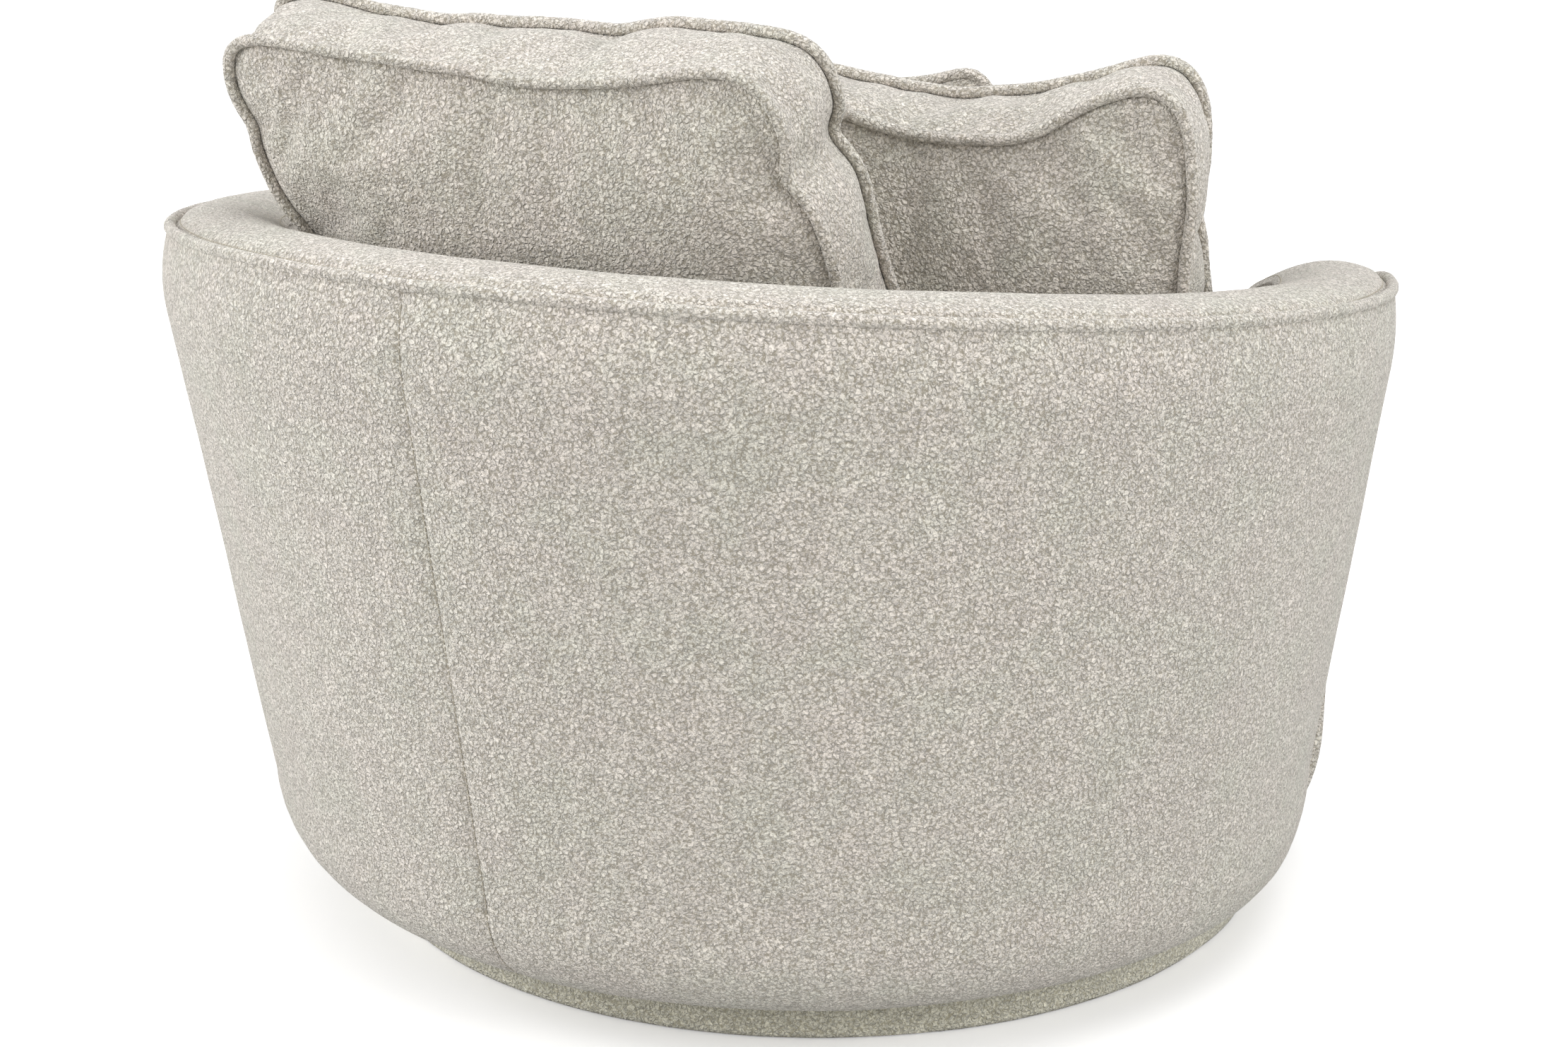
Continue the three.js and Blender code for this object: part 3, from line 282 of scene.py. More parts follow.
def birch_plywood(name, colour):
    """Rotary-cut birch plywood, sawn raw: pale long grain across the face and thin darker glue lines."""
    grain_size, ply_size = 6 * MM, 1.5 * MM
    material, tree, shader, place = new_material(name, 0.62, specular_ior_level=0.3)
    stretch = add_node(tree, "Mapping", {"Vector": place, "Scale": (1, 0.08, 1)}).outputs[0]
    grain = add_node(tree, "TexNoise", {"Vector": stretch, "Scale": 1 / grain_size, "Detail": 4.0,
                                        "Distortion": 1.2}).outputs["Fac"]
    plies = add_node(tree, "TexWave", {"Vector": place, "Scale": 1 / (FULL_TURN * ply_size), "Distortion": 0.4},
                     bands_direction="Z").outputs["Fac"]
    mixed = add_node(tree, "Math", {0: plies, 1: 0.25, 2: grain}, operation="MULTIPLY_ADD").outputs[0]
    two_tone(tree, shader, mixed, (0.3, 0.6), colour, 0.62, grain, 0.2 * MM, 0.4)
    return material


def elastic_webbing(name, colour):
    """Woven elastic webbing: tight ribs 3 mm apart across the strap, matt with a faint shine on each rib."""
    rib_size = 3 * MM
    material, tree, shader, place = new_material(name, 0.75, specular_ior_level=0.3)
    ribs = add_node(tree, "TexWave", {"Vector": place, "Scale": 1 / (FULL_TURN * rib_size), "Distortion": 0.3},
                    bands_direction="Y").outputs["Fac"]
    two_tone(tree, shader, ribs, (0.1, 0.8), colour, 0.45, ribs, 0.5 * MM)
    return material


def rolled_metal(name, colour, roughness):
    """Cold-rolled or plated steel: a grey metal with faint clouding and fine rolling marks."""
    mark_size, cloud_size = 0.5 * MM, 25 * MM
    material, tree, shader, place = new_material(name, roughness, metallic=1.0)
    stretch = add_node(tree, "Mapping", {"Vector": place, "Scale": (1, 0.03, 1)}).outputs[0]
    marks = add_node(tree, "TexNoise", {"Vector": stretch, "Scale": 1 / mark_size}).outputs["Fac"]
    cloud = add_node(tree, "TexNoise", {"Vector": place, "Scale": 1 / cloud_size, "Detail": 3.0})
    two_tone(tree, shader, cloud.outputs["Fac"], (0.35, 0.6), colour, 0.75, marks, 0.05 * MM, 0.3)
    return material


FINISHES = {}


def make_finishes():
    """Makes each material once and files it under the record's slot."""
    c = bpy.context.scene.cuddle_colours
    FINISHES.update({
        "boucle": boucle("woven ivory boucle", c.loop_light, c.loop_pink, c.loop_green, c.loop_hollow_shade),
        # The same weave as the covers, recoloured for how light falls on the plinth: greener, as the plinth looks in
        # the shade
        #         # under the tub, and paler in crowns and hollows than the covers to make up for the shade its recess
        #         gets; this is
        #         # painted light and shade on the plinth and the deck, not another yarn
        "boucle_shade": boucle("woven boucle with painted plinth light and shade", c.wrap_crown_painted_light, c.wrap_crown_painted_light, c.wrap_crown_painted_light, c.wrap_hollow_shade_and_light),
        "thread": sewing_thread("spun polyester thread", c.thread),
        # Foam cut from a block: matt pale yellow, pitted by open pores
        "foam": speckled("cut open-cell foam", c.foam, 1.5 * MM, 0.6 * MM, 0.7, 0.95),
        # Blown fibre: white and matt, clouded by loose clumps
        "fibre": speckled("blown polyester fibre", c.fibre, 4 * MM, 2 * MM, 0.88, 0.95, sheen_weight=0.3),
        "plywood": birch_plywood("sawn birch plywood", c.birch),
        # Board pressed from wood fibre: plain brown with a fine dark fleck
        "hardboard": speckled("pressed hardboard", c.hardboard, 1.2 * MM, 0.1 * MM, 0.65, 0.75),
        "webbing": elastic_webbing("woven elastic webbing", c.webbing),
        # Plate pressed and left oiled: mid grey with broad soft reflections
        "steel": rolled_metal("pressed steel", c.steel, 0.38),
        # Plated bolts: paler and shinier than the plates they hold
        "zinc": rolled_metal("bright zinc plate", c.zinc, 0.28),
        # Glides moulded in one shot: near black and smooth, with a dull shine
        "glide": speckled("moulded nylon", c.nylon, 2.5 * MM, 0.05 * MM, 0.8, 0.45, specular_ior_level=0.5),
    })


# Meshes

def link(made):
    """Links an object to the scene."""
    bpy.context.scene.collection.objects.link(made)
    return made


def show(name, mesh, slot, body):
    """An object of a mesh that rides on a body and wears a slot's finish."""
    piece = link(bpy.data.objects.new(name, mesh))
    mesh.materials.clear()
    mesh.materials.append(FINISHES[slot])
    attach(piece, body)
    return piece


def new_piece(name, vertices, faces, slot, body):
    """A smooth-shaded piece of vertices and faces that look outwards."""
    mesh = bpy.data.meshes.new(name)
    mesh.from_pydata([tuple(v) for v in vertices], [], [tuple(int(i) for i in f) for f in faces])
    mesh.validate()
    made = bmesh.new()
    made.from_mesh(mesh)
    bmesh.ops.delete(made, geom=[v for v in made.verts if not v.link_faces], context="VERTS")
    bmesh.ops.recalc_face_normals(made, faces=made.faces)
    made.to_mesh(mesh)
    made.free()
    mesh.shade_smooth()
    return show(name, mesh, slot, body)


def settle_modifiers(piece):
    """Applies a piece's modifiers to its mesh."""
    evaluated = piece.evaluated_get(bpy.context.evaluated_depsgraph_get())
    mesh = bpy.data.meshes.new_from_object(evaluated)
    piece.modifiers.clear()
    old = piece.data
    piece.data = mesh
    bpy.data.meshes.remove(old)
    mesh.name = piece.name
    return piece


def coordinates(mesh):
    """A mesh's points as rows of numbers."""
    points = np.empty(len(mesh.vertices) * 3)
    mesh.vertices.foreach_get("co", points)
    return points.reshape(-1, 3)


def grid_faces(stations, rows, keep=lambda station, row: True, ring=False, tube=False, base=0):
    """Quads of a grid of stations by rows, whose stations can close into a ring and whose rows into a tube."""
    faces = []
    for station in range(stations if ring else stations - 1):
        here, there = base + station * rows, base + (station + 1) % stations * rows
        for row in range(rows if tube else rows - 1):
            if keep(station, row):
                up = (row + 1) % rows
                faces.append((here + row, here + up, there + up, there + row))
    return faces


def soft(point, *waves):
    """Smooth unevenness of cloth over foam at a point: the sum of waves, each of a size and a height."""
    return sum(height * noise.noise(Vector(point) / size) for size, height in waves)


def bell(distance, spread):
    """A smooth bump of height one."""
    return math.exp(-(distance / spread) ** 2)


def clamp(part):
    """A number held between nought and one."""
    return min(1, max(0, part))


def ease(part):
    """A smooth climb from nought to one as a part climbs from nought to one."""
    part = clamp(part)
    return part * part * (3 - 2 * part)


def resample(points, step, closed):
    """Points spaced evenly along a line."""
    line = np.asarray(points, dtype=float)
    if closed:
        line = np.vstack([line, line[:1]])
    runs = np.linalg.norm(np.diff(line, axis=0), axis=1)
    along = np.concatenate([[0], np.cumsum(runs)])
    count = max(3, int(round(along[-1] / step)))
    places = np.linspace(0, along[-1], count + 1)
    if closed:
        places = places[:-1]
    return np.column_stack([np.interp(places, along, line[:, i]) for i in range(line.shape[1])])


def tangents(line, closed):
    """Unit directions along a line."""
    if closed:
        runs = np.roll(line, -1, axis=0) - np.roll(line, 1, axis=0)
    else:
        runs = np.gradient(line, axis=0)
    return runs / np.linalg.norm(runs, axis=1)[:, None]


def build_welt(name, points, radius, side, body, closed=True):
    """A cloth-covered piping cord along a line, with the weave's small nubs.

    side is any direction that lies well across the line, and the rounds of points start from it.
    """
    sides, step, nub, nub_size = 10, 3 * MM, 0.45 * MM, 4 * MM
    line = resample(points, step, closed)
    run = tangents(line, closed)
    side = np.asarray(side, dtype=float)
    across = side - run * (run @ side)[:, None]
    across /= np.linalg.norm(across, axis=1)[:, None]
    vertices = []
    for centre, first, second in zip(line, across, np.cross(run, across)):
        for k in range(sides):
            angle = FULL_TURN * k / sides
            outwards = math.cos(angle) * first + math.sin(angle) * second
            reach = radius + soft(centre + radius * outwards, (nub_size, nub))
            vertices.append(centre + reach * outwards)
    count = len(line)
    faces = grid_faces(count, sides, ring=closed, tube=True)
    if not closed:
        faces += [tuple(range(sides)), tuple((count - 1) * sides + k for k in range(sides))]
    return new_piece(name, vertices, faces, "boucle", body)


def build_stitches(name, points, normals, spacing, body):
    """A row of short thread stitches half sunk in the cloth."""
    line = resample(np.hstack([points, normals]), spacing, False)
    run = tangents(line[:, :3], False)
    stitch_half, thread_radius, sides = 0.36 * spacing, 0.65 * MM, 6
    rounds = [(-1.0, 0.35), (-0.7, 0.9), (0.7, 0.9), (1.0, 0.35)]
    vertices, faces = [], []
    for row, direction in zip(line, run):
        normal = row[3:] / np.linalg.norm(row[3:])
        across = np.cross(direction, normal)
        base = len(vertices)
        for along, thick in rounds:
            for k in range(sides):
                angle = FULL_TURN * k / sides
                offset = across * math.cos(angle) + normal * math.sin(angle)
                vertices.append(row[:3] + direction * along * stitch_half + offset * thick * thread_radius)
        faces += grid_faces(len(rounds), sides, tube=True, base=base)
        faces.append(tuple(base + k for k in range(sides)))
        faces.append(tuple(base + (len(rounds) - 1) * sides + k for k in reversed(range(sides))))
    return new_piece(name, vertices, faces, "thread", body)


# Tub and plinth

def rim_axis():
    """How far the rim's axis stands from the swivel's, towards the back."""
    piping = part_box("rim_piping")
    return piping[1].y - piping[1].x


class TubForm:
    """Reach from the rim's axis and height of the tub's surfaces at an angle from the middle of the back."""

    nose_past = math.radians(0.6)

    def __init__(self, sizes):
        self.s = sizes
        self.rim_y = rim_axis()
        self.swivel_y = sum(corner.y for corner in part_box("ball_cage")) / 2
        self.deck_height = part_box("apron_cover")[1].z
        self.wall_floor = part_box("inner_cover")[0].z

    @staticmethod
    def circle(angle, radius, shift):
        """Reach of a circle whose centre is shifted towards the back."""
        side = shift * math.sin(angle)
        return shift * math.cos(angle) + math.sqrt(radius ** 2 - side ** 2)

    def about_swivel(self, angle, radius):
        """Reach of a circle about the swivel's axis."""
        return self.circle(angle, radius, self.swivel_y - self.rim_y)

    def arm_fall(self, angle):
        """How much lower the padding lets an arm's top lie towards its end."""
        return self.s.fall_depth * ease((abs(angle) - self.s.fall_start) / self.s.fall_turn)

    def rim(self, angle):
        """Height of the piped edge."""
        return self.s.rim_height - self.s.rim_fall * (1 - math.cos(angle)) - self.arm_fall(angle)

    def cone(self, angle, height):
        """Reach of the wall's plain cone."""
        below = self.s.rim_height - height
        radius = self.s.rim_radius + self.s.overhang - self.s.taper * below
        return self.circle(angle, radius, -self.s.lean * below)

    def outer(self, angle, height):
        """Reach of the outside above the foot, drawn in under the piping."""
        top = self.rim(angle) + self.seam_lift(angle)
        tuck = clamp((height - top + self.s.tuck_depth) / self.s.tuck_depth)
        return self.cone(angle, height) - tuck ** 2 * (self.cone(angle, top) - self.s.rim_radius)

    def inner(self, height):
        """Reach of the inside."""
        return self.s.rim_radius - self.s.band_width - self.s.inner_flare * (self.s.rim_height - height)

    def under(self, height):
        """Share of the foot's rounding that lies above a height."""
        return clamp((self.s.foot_height - height) / (self.s.foot_height - self.s.hem_height))

    def nose(self, angle, reach, height):
        """Rounds a point off towards the arm's end: the wall thins and its top drops."""
        end, rounding = self.s.arm_end + self.nose_past, self.s.arm_round + self.nose_past
        thick = math.sqrt(1 - clamp((abs(angle) - end + rounding) / rounding) ** 2)
        middle = (self.cone(angle, height) + self.inner(height)) / 2
        rise = clamp((height - self.wall_floor) / (self.rim(angle) - self.wall_floor))
        return middle + (reach - middle) * thick, height - self.s.arm_drop * (1 - thick) * rise

    @staticmethod
    def seam_lift(angle):
        """How far the hand-set piping climbs over its plain line, highest beside the back seam's kink."""
        climb, kink = 5 * MM * bell(angle, 0.9), 1.6 * MM * bell(angle + 0.02, 0.05)
        return climb - kink + soft((angle, 0, 3), (0.27, 1.2 * MM))

    @staticmethod
    def padding(spot):
        """How far the wadding under the outside cover lifts it off the board."""
        return 1.6 * MM + soft(spot, (260 * MM, 1.9 * MM), (70 * MM, 0.5 * MM))

    def place(self, angle, reach, height):
        """A point of the row frame."""
        return np.array([reach * math.sin(angle), self.rim_y + reach * math.cos(angle), height])

    def point(self, angle, reach, height):
        """A point of the row frame, rounded off at the arms' ends."""
        return self.place(angle, *self.nose(angle, reach, height))

    def away(self, spot):
        """Direction from the rim's axis to a spot."""
        return Vector((spot.x, spot.y - self.rim_y, 0))

    def angles(self, start=0.0):
        """Stations from an angle to the arm's end, closer together on its round nose."""
        step = math.radians(0.8)
        end = self.s.arm_end + self.nose_past
        round_start = self.s.arm_end - self.s.arm_round
        plain = list(np.linspace(start, round_start, int((round_start - start) / step)))
        nose = [round_start + (end - round_start) * math.sin(t) for t in np.linspace(0, math.pi / 2, 22)[1:]]
        return plain + nose


def both_sides(half):
    """Angles of both sides in rising order from those of one side that start at zero."""
    return [-angle for angle in reversed(half[1:])] + list(half)


def foot_line(form, angle, wall_reach, drawn_back=0.0):
    """Points from the flap under the seat board round the foot to the wall."""
    s = form.s
    hem = form.about_swivel(angle, s.hem_radius) - drawn_back
    line = [(hem - s.hem_flap + drawn_back, s.hem_height)]
    for turned in np.linspace(math.pi / 2, 0, 11):
        fall, drawn = math.sin(turned), 1 - math.cos(turned)
        line.append((wall_reach + (hem - wall_reach) * drawn, s.foot_height - (s.foot_height - s.hem_height) * fall))
    return line


def lay_sheet(node, vertices, faces, thickness, looks):
    """A sheet of cloth in a node's place; looks gives the way that its right side looks at a spot."""
    piece = new_piece(node + "_cloth", vertices, faces, "boucle", "tub")
    middle = piece.data.polygons[len(piece.data.polygons) // 2]
    if middle.normal.dot(looks(middle.center)) < 0:
        piece.data.flip_normals()
    solid = piece.modifiers.new("cloth thickness", "SOLIDIFY")
    solid.thickness, solid.offset = thickness, -1
    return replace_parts(settle_modifiers(piece), node)


def build_outer_cover(form, side):
    """One half of the outside cover, from the hem up to its turn under the piping, puckered at the back seam."""
    s = form.s
    pinch_depth, pinch_width, draw_depth, draw_width = 1.6 * MM, 4.5 * MM, 1.0 * MM, 16 * MM
    pucker_depth, pucker_pitch, pucker_place, pucker_width = 0.35 * MM, 11 * MM, 6 * MM, 8 * MM
    turn_in, rounding = 5 * MM, 1e-6
    near_seam = [v * MM for v in (-0.3, 0.7, 1.6, 3, 5, 8, 12, 18)]
    angles = [v / s.rim_radius for v in near_seam] + form.angles(26 * MM / s.rim_radius)
    angles = sorted(angles + [s.apron_start])
    vertices, rows, cut_row = [], 0, 0
    for angle in angles:
        turned = side * angle
        top = form.rim(angle) + form.seam_lift(turned)
        line = foot_line(form, angle, form.cone(angle, s.foot_height))
        line += [(form.cone(angle, h), h) for h in np.linspace(s.foot_height, form.wall_floor, 5)[1:]]
        cut_row = len(line) - 1
        heights = list(np.linspace(form.wall_floor, top - s.tuck_depth, 20)[1:])
        heights += list(np.linspace(top - s.tuck_depth, top - turn_in, 13)[1:])
        line += [(form.outer(turned, h), h) for h in heights]
        last_reach, last_height = line[-1]
        line += [(last_reach - v * MM, last_height + 2 * MM) for v in (2, 6)]
        rows = len(line)
        arc = abs(angle) * s.rim_radius
        pinch = pinch_depth * bell(arc, pinch_width) + draw_depth * bell(arc, draw_width)
        for reach, height in line:
            wave = form.padding(form.place(turned, reach, height))
            pucker = math.sin(height / pucker_pitch * FULL_TURN) * bell(arc - pucker_place, pucker_width)
            hang = soft((turned * 4, 3.1, 0), (1, 3.5 * MM)) + soft((turned * 11, 7, 0), (1, 1.5 * MM))
            sway = form.under(height) ** 2 * hang
            out = reach + wave - pinch + pucker_depth * pucker + sway
            vertices.append(form.point(turned, out, height + 0.8 * sway))
    stop = s.apron_start - rounding
    faces = grid_faces(len(angles), rows, lambda station, row: row >= cut_row or angles[station] < stop)
    lay_sheet("outer_cover_left" if side > 0 else "outer_cover_right", vertices, faces, s.cloth, form.away)


def band_point(form, angle, across):
    """A point of the top band: across is a distance from the piping's middle towards the inner seam."""
    s = form.s
    top = form.rim(angle)
    width = s.rim_radius - form.inner(top)
    part = min(1, across / width)
    crown = (s.band_crown + 4 * MM) * max(0, math.sin(math.pi * part)) ** 0.7
    beside_piping = 8 * MM * bell(across, 9 * MM)
    beside_stitches = 1.8 * MM * bell(across - 10 * MM, 2 * MM)
    at_inner_seam = 2.2 * MM * bell(width - across, 4 * MM)
    groove = beside_piping + beside_stitches + at_inner_seam
    spot = form.place(angle, s.rim_radius - across, top)
    wave = soft(spot, (200 * MM, 1.6 * MM), (50 * MM, 0.5 * MM)) + form.seam_lift(angle) * (1 - part)
    return form.point(angle, s.rim_radius - across, top - s.band_drop * part + crown - groove + wave)


def build_band(form):
    """The soft band on top of the wall, between the piping and the inner seam."""
    s = form.s
    angles = both_sides(form.angles())
    near_piping = [v * MM for v in (2, 4, 6, 7.5, 9, 10, 11, 12.5, 14.5)]
    vertices, rows = [], 0
    for angle in angles:
        width = s.rim_radius - form.inner(form.rim(angle))
        across = near_piping + list(np.linspace(18 * MM, width - 10 * MM, 13))
        across += [width - v * MM for v in (6, 3.5, 1.5, 0)]
        rows = len(across)
        vertices += [band_point(form, angle, v) for v in across]
    faces = grid_faces(len(angles), rows)
    lay_sheet("band_cover", vertices, faces, s.cloth, lambda spot: Vector((0, 0, 1)))


def build_rim_piping(form):
    """The self-welt round the tub's top edge, a little uneven by hand, and the rows of stitches beside the seams."""
    s = form.s
    line = []
    for angle in both_sides(form.angles()):
        height = form.rim(angle)
        spot = form.place(angle, s.rim_radius, height)
        lift = form.seam_lift(angle) + soft(spot, (50 * MM, 0.4 * MM))
        line.append(form.point(angle, s.rim_radius + soft(spot, (110 * MM, 0.8 * MM)), height + lift))
    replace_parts(build_welt("rim_piping_cloth", line, s.piping_radius, (0, 0, 1), "tub", closed=False), "rim_piping")
    inset = math.radians(3)
    seam_angles = np.linspace(-s.arm_end + inset, s.arm_end - inset, 500)
    rows = {"rim_stitches": lambda angle: 10 * MM,
            "inner_seam_stitches": lambda angle: s.rim_radius - form.inner(form.rim(angle)) - 7 * MM}
    for name, across in rows.items():
        points = [band_point(form, a, across(a)) for a in seam_angles]
        build_stitches(name, points, [(0, 0, 1)] * len(points), 5.5 * MM, "tub")


def build_centre_seam(form):
    """Small stitches that close the two halves of the outside cover down the middle of the back."""
    s = form.s
    sunk = 2.3 * MM
    wall = form.cone(0, s.foot_height)
    points = []
    for height in np.linspace(s.hem_height + 12 * MM, s.rim_height - 14 * MM, 220):
        reach = form.outer(0, height)
        if height < s.foot_height:
            drawn = 1 - math.sqrt(1 - form.under(height) ** 2)
            reach = wall + (form.about_swivel(0, s.hem_radius) - wall) * drawn
        points.append(form.place(0, reach + form.padding(form.place(0, reach, height)) - sunk, height))
    build_stitches("centre_seam_stitches", points, [(0, 1, 0)] * len(points), 6 * MM, "tub")


def build_inner_cover(form):
    """The inside cover, softly padded, from the deck up to the band's inner seam."""
    s = form.s
    angles = both_sides(form.angles())
    rows = 26
    vertices = []
    for angle in angles:
        top = form.rim(angle) - s.band_drop
        for part in np.linspace(0, 1, rows):
            height = form.wall_floor + (top - form.wall_floor) * part
            reach = form.inner(height)
            spot = form.place(angle, reach, height)
            pad = 4 * MM * max(0, math.sin(math.pi * part)) ** 0.6 - 2 * MM * bell(top - height, 5 * MM)
            reach -= pad + soft(spot, (200 * MM, 2 * MM), (60 * MM, 0.6 * MM))
            vertices.append(form.point(angle, reach, height))
    faces = grid_faces(len(angles), rows)
    lay_sheet("inner_cover", vertices, faces, s.cloth, lambda spot: -form.away(spot))


def build_apron(form):
    """The bowed front under the seat, rounded over at its top edge and under at its foot."""
    s = form.s
    start, end_round, end_depth = s.apron_start + math.radians(0.06), math.radians(0.9), 34 * MM
    lap_turn, least_lap, lap_fall = math.radians(4), 6 * MM, 5 * MM
    turned_ends = [(end_round * (1 - math.cos(t)), math.sin(t)) for t in np.linspace(0, math.pi / 2, 8)]
    stations = [(start + past, out) for past, out in turned_ends]
    stations += [(angle, 1.0) for angle in np.linspace(start + end_round, FULL_TURN - start - end_round, 150)[1:-1]]
    stations += [(FULL_TURN - start - past, out) for past, out in reversed(turned_ends)]
    high = form.deck_height - s.apron_round
    vertices, rows = [], 0
    for angle, end_share in stations:
        drawn_back = end_depth * (1 - end_share)
        reach = form.about_swivel(angle, s.apron_radius) - drawn_back
        line = foot_line(form, angle, reach, drawn_back)
        line += [(reach, h) for h in np.linspace(s.foot_height, high, 6)[1:]]
        for turned in np.linspace(0, math.pi / 2, 8)[1:]:
            line.append((reach - s.apron_round * (1 - math.cos(turned)), high + s.apron_round * math.sin(turned)))
        line += [(reach - s.apron_round - v * MM, form.deck_height) for v in (4, 8)]
        line.append((reach - s.apron_flap, form.deck_height))
        past = (min(angle, FULL_TURN - angle) - s.ear_lap) / lap_turn
        lap = s.ear_flap * (0.5 - 0.5 * math.tanh(past)) + least_lap
        line += [(reach - s.apron_flap - lap * v, form.deck_height - lap_fall * v) for v in (0.33, 0.67, 1)]
        rows = len(line)
        for out, height in line:
            wave = soft(form.place(angle, out, height), (220 * MM, 1.8 * MM), (60 * MM, 0.5 * MM))
            sway = form.under(height) ** 2 * soft((angle * 5, 1, 4), (1, 3 * MM))
            vertices.append(form.place(angle, out + wave + sway, height - (0 if height < high else 0.3 * MM)))
    faces = grid_faces(len(stations), rows)
    lay_sheet("apron_cover", vertices, faces, s.cloth, form.away)


def build_plinth_wrap(form):
    """The plinth's wrap: cloth drawn round the hoop and turned over its top and bottom edges."""
    s = form.s
    low, high = (corner.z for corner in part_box("plinth_cover"))
    outer, inner, fold = s.plinth_radius, s.plinth_radius - s.cloth, 4 * MM
    profile = [(inner, low + fold), (inner + 0.5 * MM, low), (outer - fold / 2, low), (outer, low + fold)]
    profile += [(outer, z) for z in np.linspace(low + 2 * fold, high - 2 * fold, 5)]
    profile += [(outer, high - fold), (outer - 1.2 * MM, high - 1 * MM), (outer - fold / 2, high), (inner, high)]
    profile += [(inner, z) for z in np.linspace(high - fold, low + 2 * fold, 3)]
    stations = 300
    vertices = []
    for k in range(stations):
        angle = FULL_TURN * k / stations
        out = np.array([math.sin(angle), math.cos(angle), 0])
        for radius, height in profile:
            spot = out * radius + np.array([0, 0, height])
            wave = soft(spot, (120 * MM, 1.2 * MM), (30 * MM, 0.4 * MM)) if radius > inner + fold / 4 else 0
            vertices.append(out * (radius + wave) + np.array([0, form.swivel_y, height]))
    faces = grid_faces(stations, len(profile), ring=True, tube=True)
    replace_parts(new_piece("plinth_wrap_cloth", vertices, faces, "boucle_shade", "base"), "plinth_cover")


def soften_solid(node, name, slot, width=4 * MM):
    """A rounded soft body in the place of one of the tub's plain solids."""
    piece = show(name, frame["nodes"][node].data.copy(), slot, "tub")
    piece.modifiers.new("weld", "WELD").merge_threshold = 0.01 * MM
    soften = piece.modifiers.new("round", "BEVEL")
    soften.width, soften.segments, soften.limit_method = width, 2, "ANGLE"
    settle_modifiers(piece)
    piece.data.shade_smooth()
    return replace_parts(piece, node)


def settle_arm_ends(piece, form):
    """Lets a foam sink with the soft tops of the arms' ends, and draws the apron's foam back from its joints."""
    s = form.s
    low_rim = s.rim_height - 2 * s.rim_fall
    inset, inset_turn = math.radians(0.8), math.radians(3)
    for vertex in piece.data.vertices:
        out = form.away(vertex.co)
        angle = math.atan2(out.x, out.y)
        if piece.name.startswith("apron"):
            drawn = inset * max(0, 1 - (abs(angle) - s.apron_start) / inset_turn)
            turned = Matrix.Rotation(-math.copysign(drawn, angle), 3, "Z") @ out
            vertex.co.x, vertex.co.y = turned.x, turned.y + form.rim_y
        vertex.co.z -= form.arm_fall(angle) * clamp((vertex.co.z - form.wall_floor) / (low_rim - form.wall_floor))


# Cushions

def inside(points, polygon):
    """Which points lie inside a polygon."""
    x, y = points[:, 0], points[:, 1]
    result = np.zeros(len(points), dtype=bool)
    for (x0, y0), (x1, y1) in zip(polygon, np.roll(polygon, -1, axis=0)):
        crosses = (y0 > y) != (y1 > y)
        if y0 != y1:
            result ^= crosses & (x < (x1 - x0) * (y - y0) / (y1 - y0) + x0)
    return result


def nearest(points, others):
    """Each point's distance from the nearest of the others."""
    return np.sqrt(((points[:, None] - others[None]) ** 2).sum(axis=2)).min(axis=1)


def flat_mesh(outline, step):
    """An even mesh of triangles inside an outline: points, outline first, faces and distances from the outline."""
    clear, row_gap, merge = 0.6 * step, step * math.sqrt(0.75), 1e-6
    low, high = outline.min(axis=0), outline.max(axis=0)
    inner = []
    for row, y in enumerate(np.arange(low[1], high[1], row_gap)):
        inner += [(x + (row % 2) * step / 2, y) for x in np.arange(low[0], high[0], step)]
    inner = np.array(inner)
    inner = inner[inside(inner, outline)]
    gap = nearest(inner, outline)
    inner, gap = inner[gap > clear], gap[gap > clear]
    points = np.vstack([outline, inner])
    count = len(outline)
    loop = [(i, (i + 1) % count) for i in range(count)]
    found = delaunay_2d_cdt([Vector(p) for p in points], loop, [], 1, merge)
    sources = [source[0] for source in found[3]]
    faces = [tuple(sources[i] for i in face) for face in found[2]]
    return points, faces, np.concatenate([np.zeros(count), gap])


def outwards_of(outline):
    """Unit directions out of an anticlockwise outline."""
    run = tangents(outline, True)
    return np.column_stack([run[:, 1], -run[:, 0]])


def build_pad(body, outline, half, crown, crown_width, border_rows, bulge, shifts, place):
    """A closed cushion cover: two crowned faces and a border between two seam loops, which shifts move.

    A seam's shift carries the face beside it along, less and less over the fade.
    """
    fade, tiny = 160 * MM, 1e-8
    flat, triangles, gap = flat_mesh(outline, bpy.context.scene.cuddle_cushions.mesh_step)
    count, total = len(outline), len(flat)
    rise = crown * (1 - np.exp(-gap / crown_width)) * (1 - np.exp(-3.0))
    weights = 1 / (((flat[count:, None] - outline[None]) ** 2).sum(axis=2) + tiny) ** 1.5
    weights /= weights.sum(axis=1)[:, None]
    sheets = []
    for sign, shift in zip((1, -1), shifts):
        moved = np.vstack([shift, (weights @ shift) * np.exp(-gap[count:, None] / fade)])
        sheets.append(np.column_stack([flat, sign * (half + rise)]) + moved)
    rear, front = sheets
    vertices = list(rear) + list(front)
    faces = list(triangles) + [tuple(total + i for i in reversed(face)) for face in triangles]
    rings = [list(range(count))]
    for part in np.arange(1, border_rows) / border_rows:
        rings.append(list(range(len(vertices), len(vertices) + count)))
        swell = np.pad(outwards_of(outline) * (bulge * math.sin(math.pi * part)), ((0, 0), (0, 1)))
        vertices += list(rear[:count] * (1 - part) + front[:count] * part + swell)
    rings.append([total + i for i in range(count)])
    for before, after in zip(rings, rings[1:]):
        faces += [(before[i], after[i], after[(i + 1) % count], before[(i + 1) % count]) for i in range(count)]
    world, origin = np.array(place.to_3x3()).T, np.array(place.translation)
    piece = new_piece(body + "_cover_cloth", np.array(vertices) @ world + origin, faces, "boucle", body)
    return piece, rings[0] + rings[-1], [sheet[:count] @ world + origin for sheet in sheets]


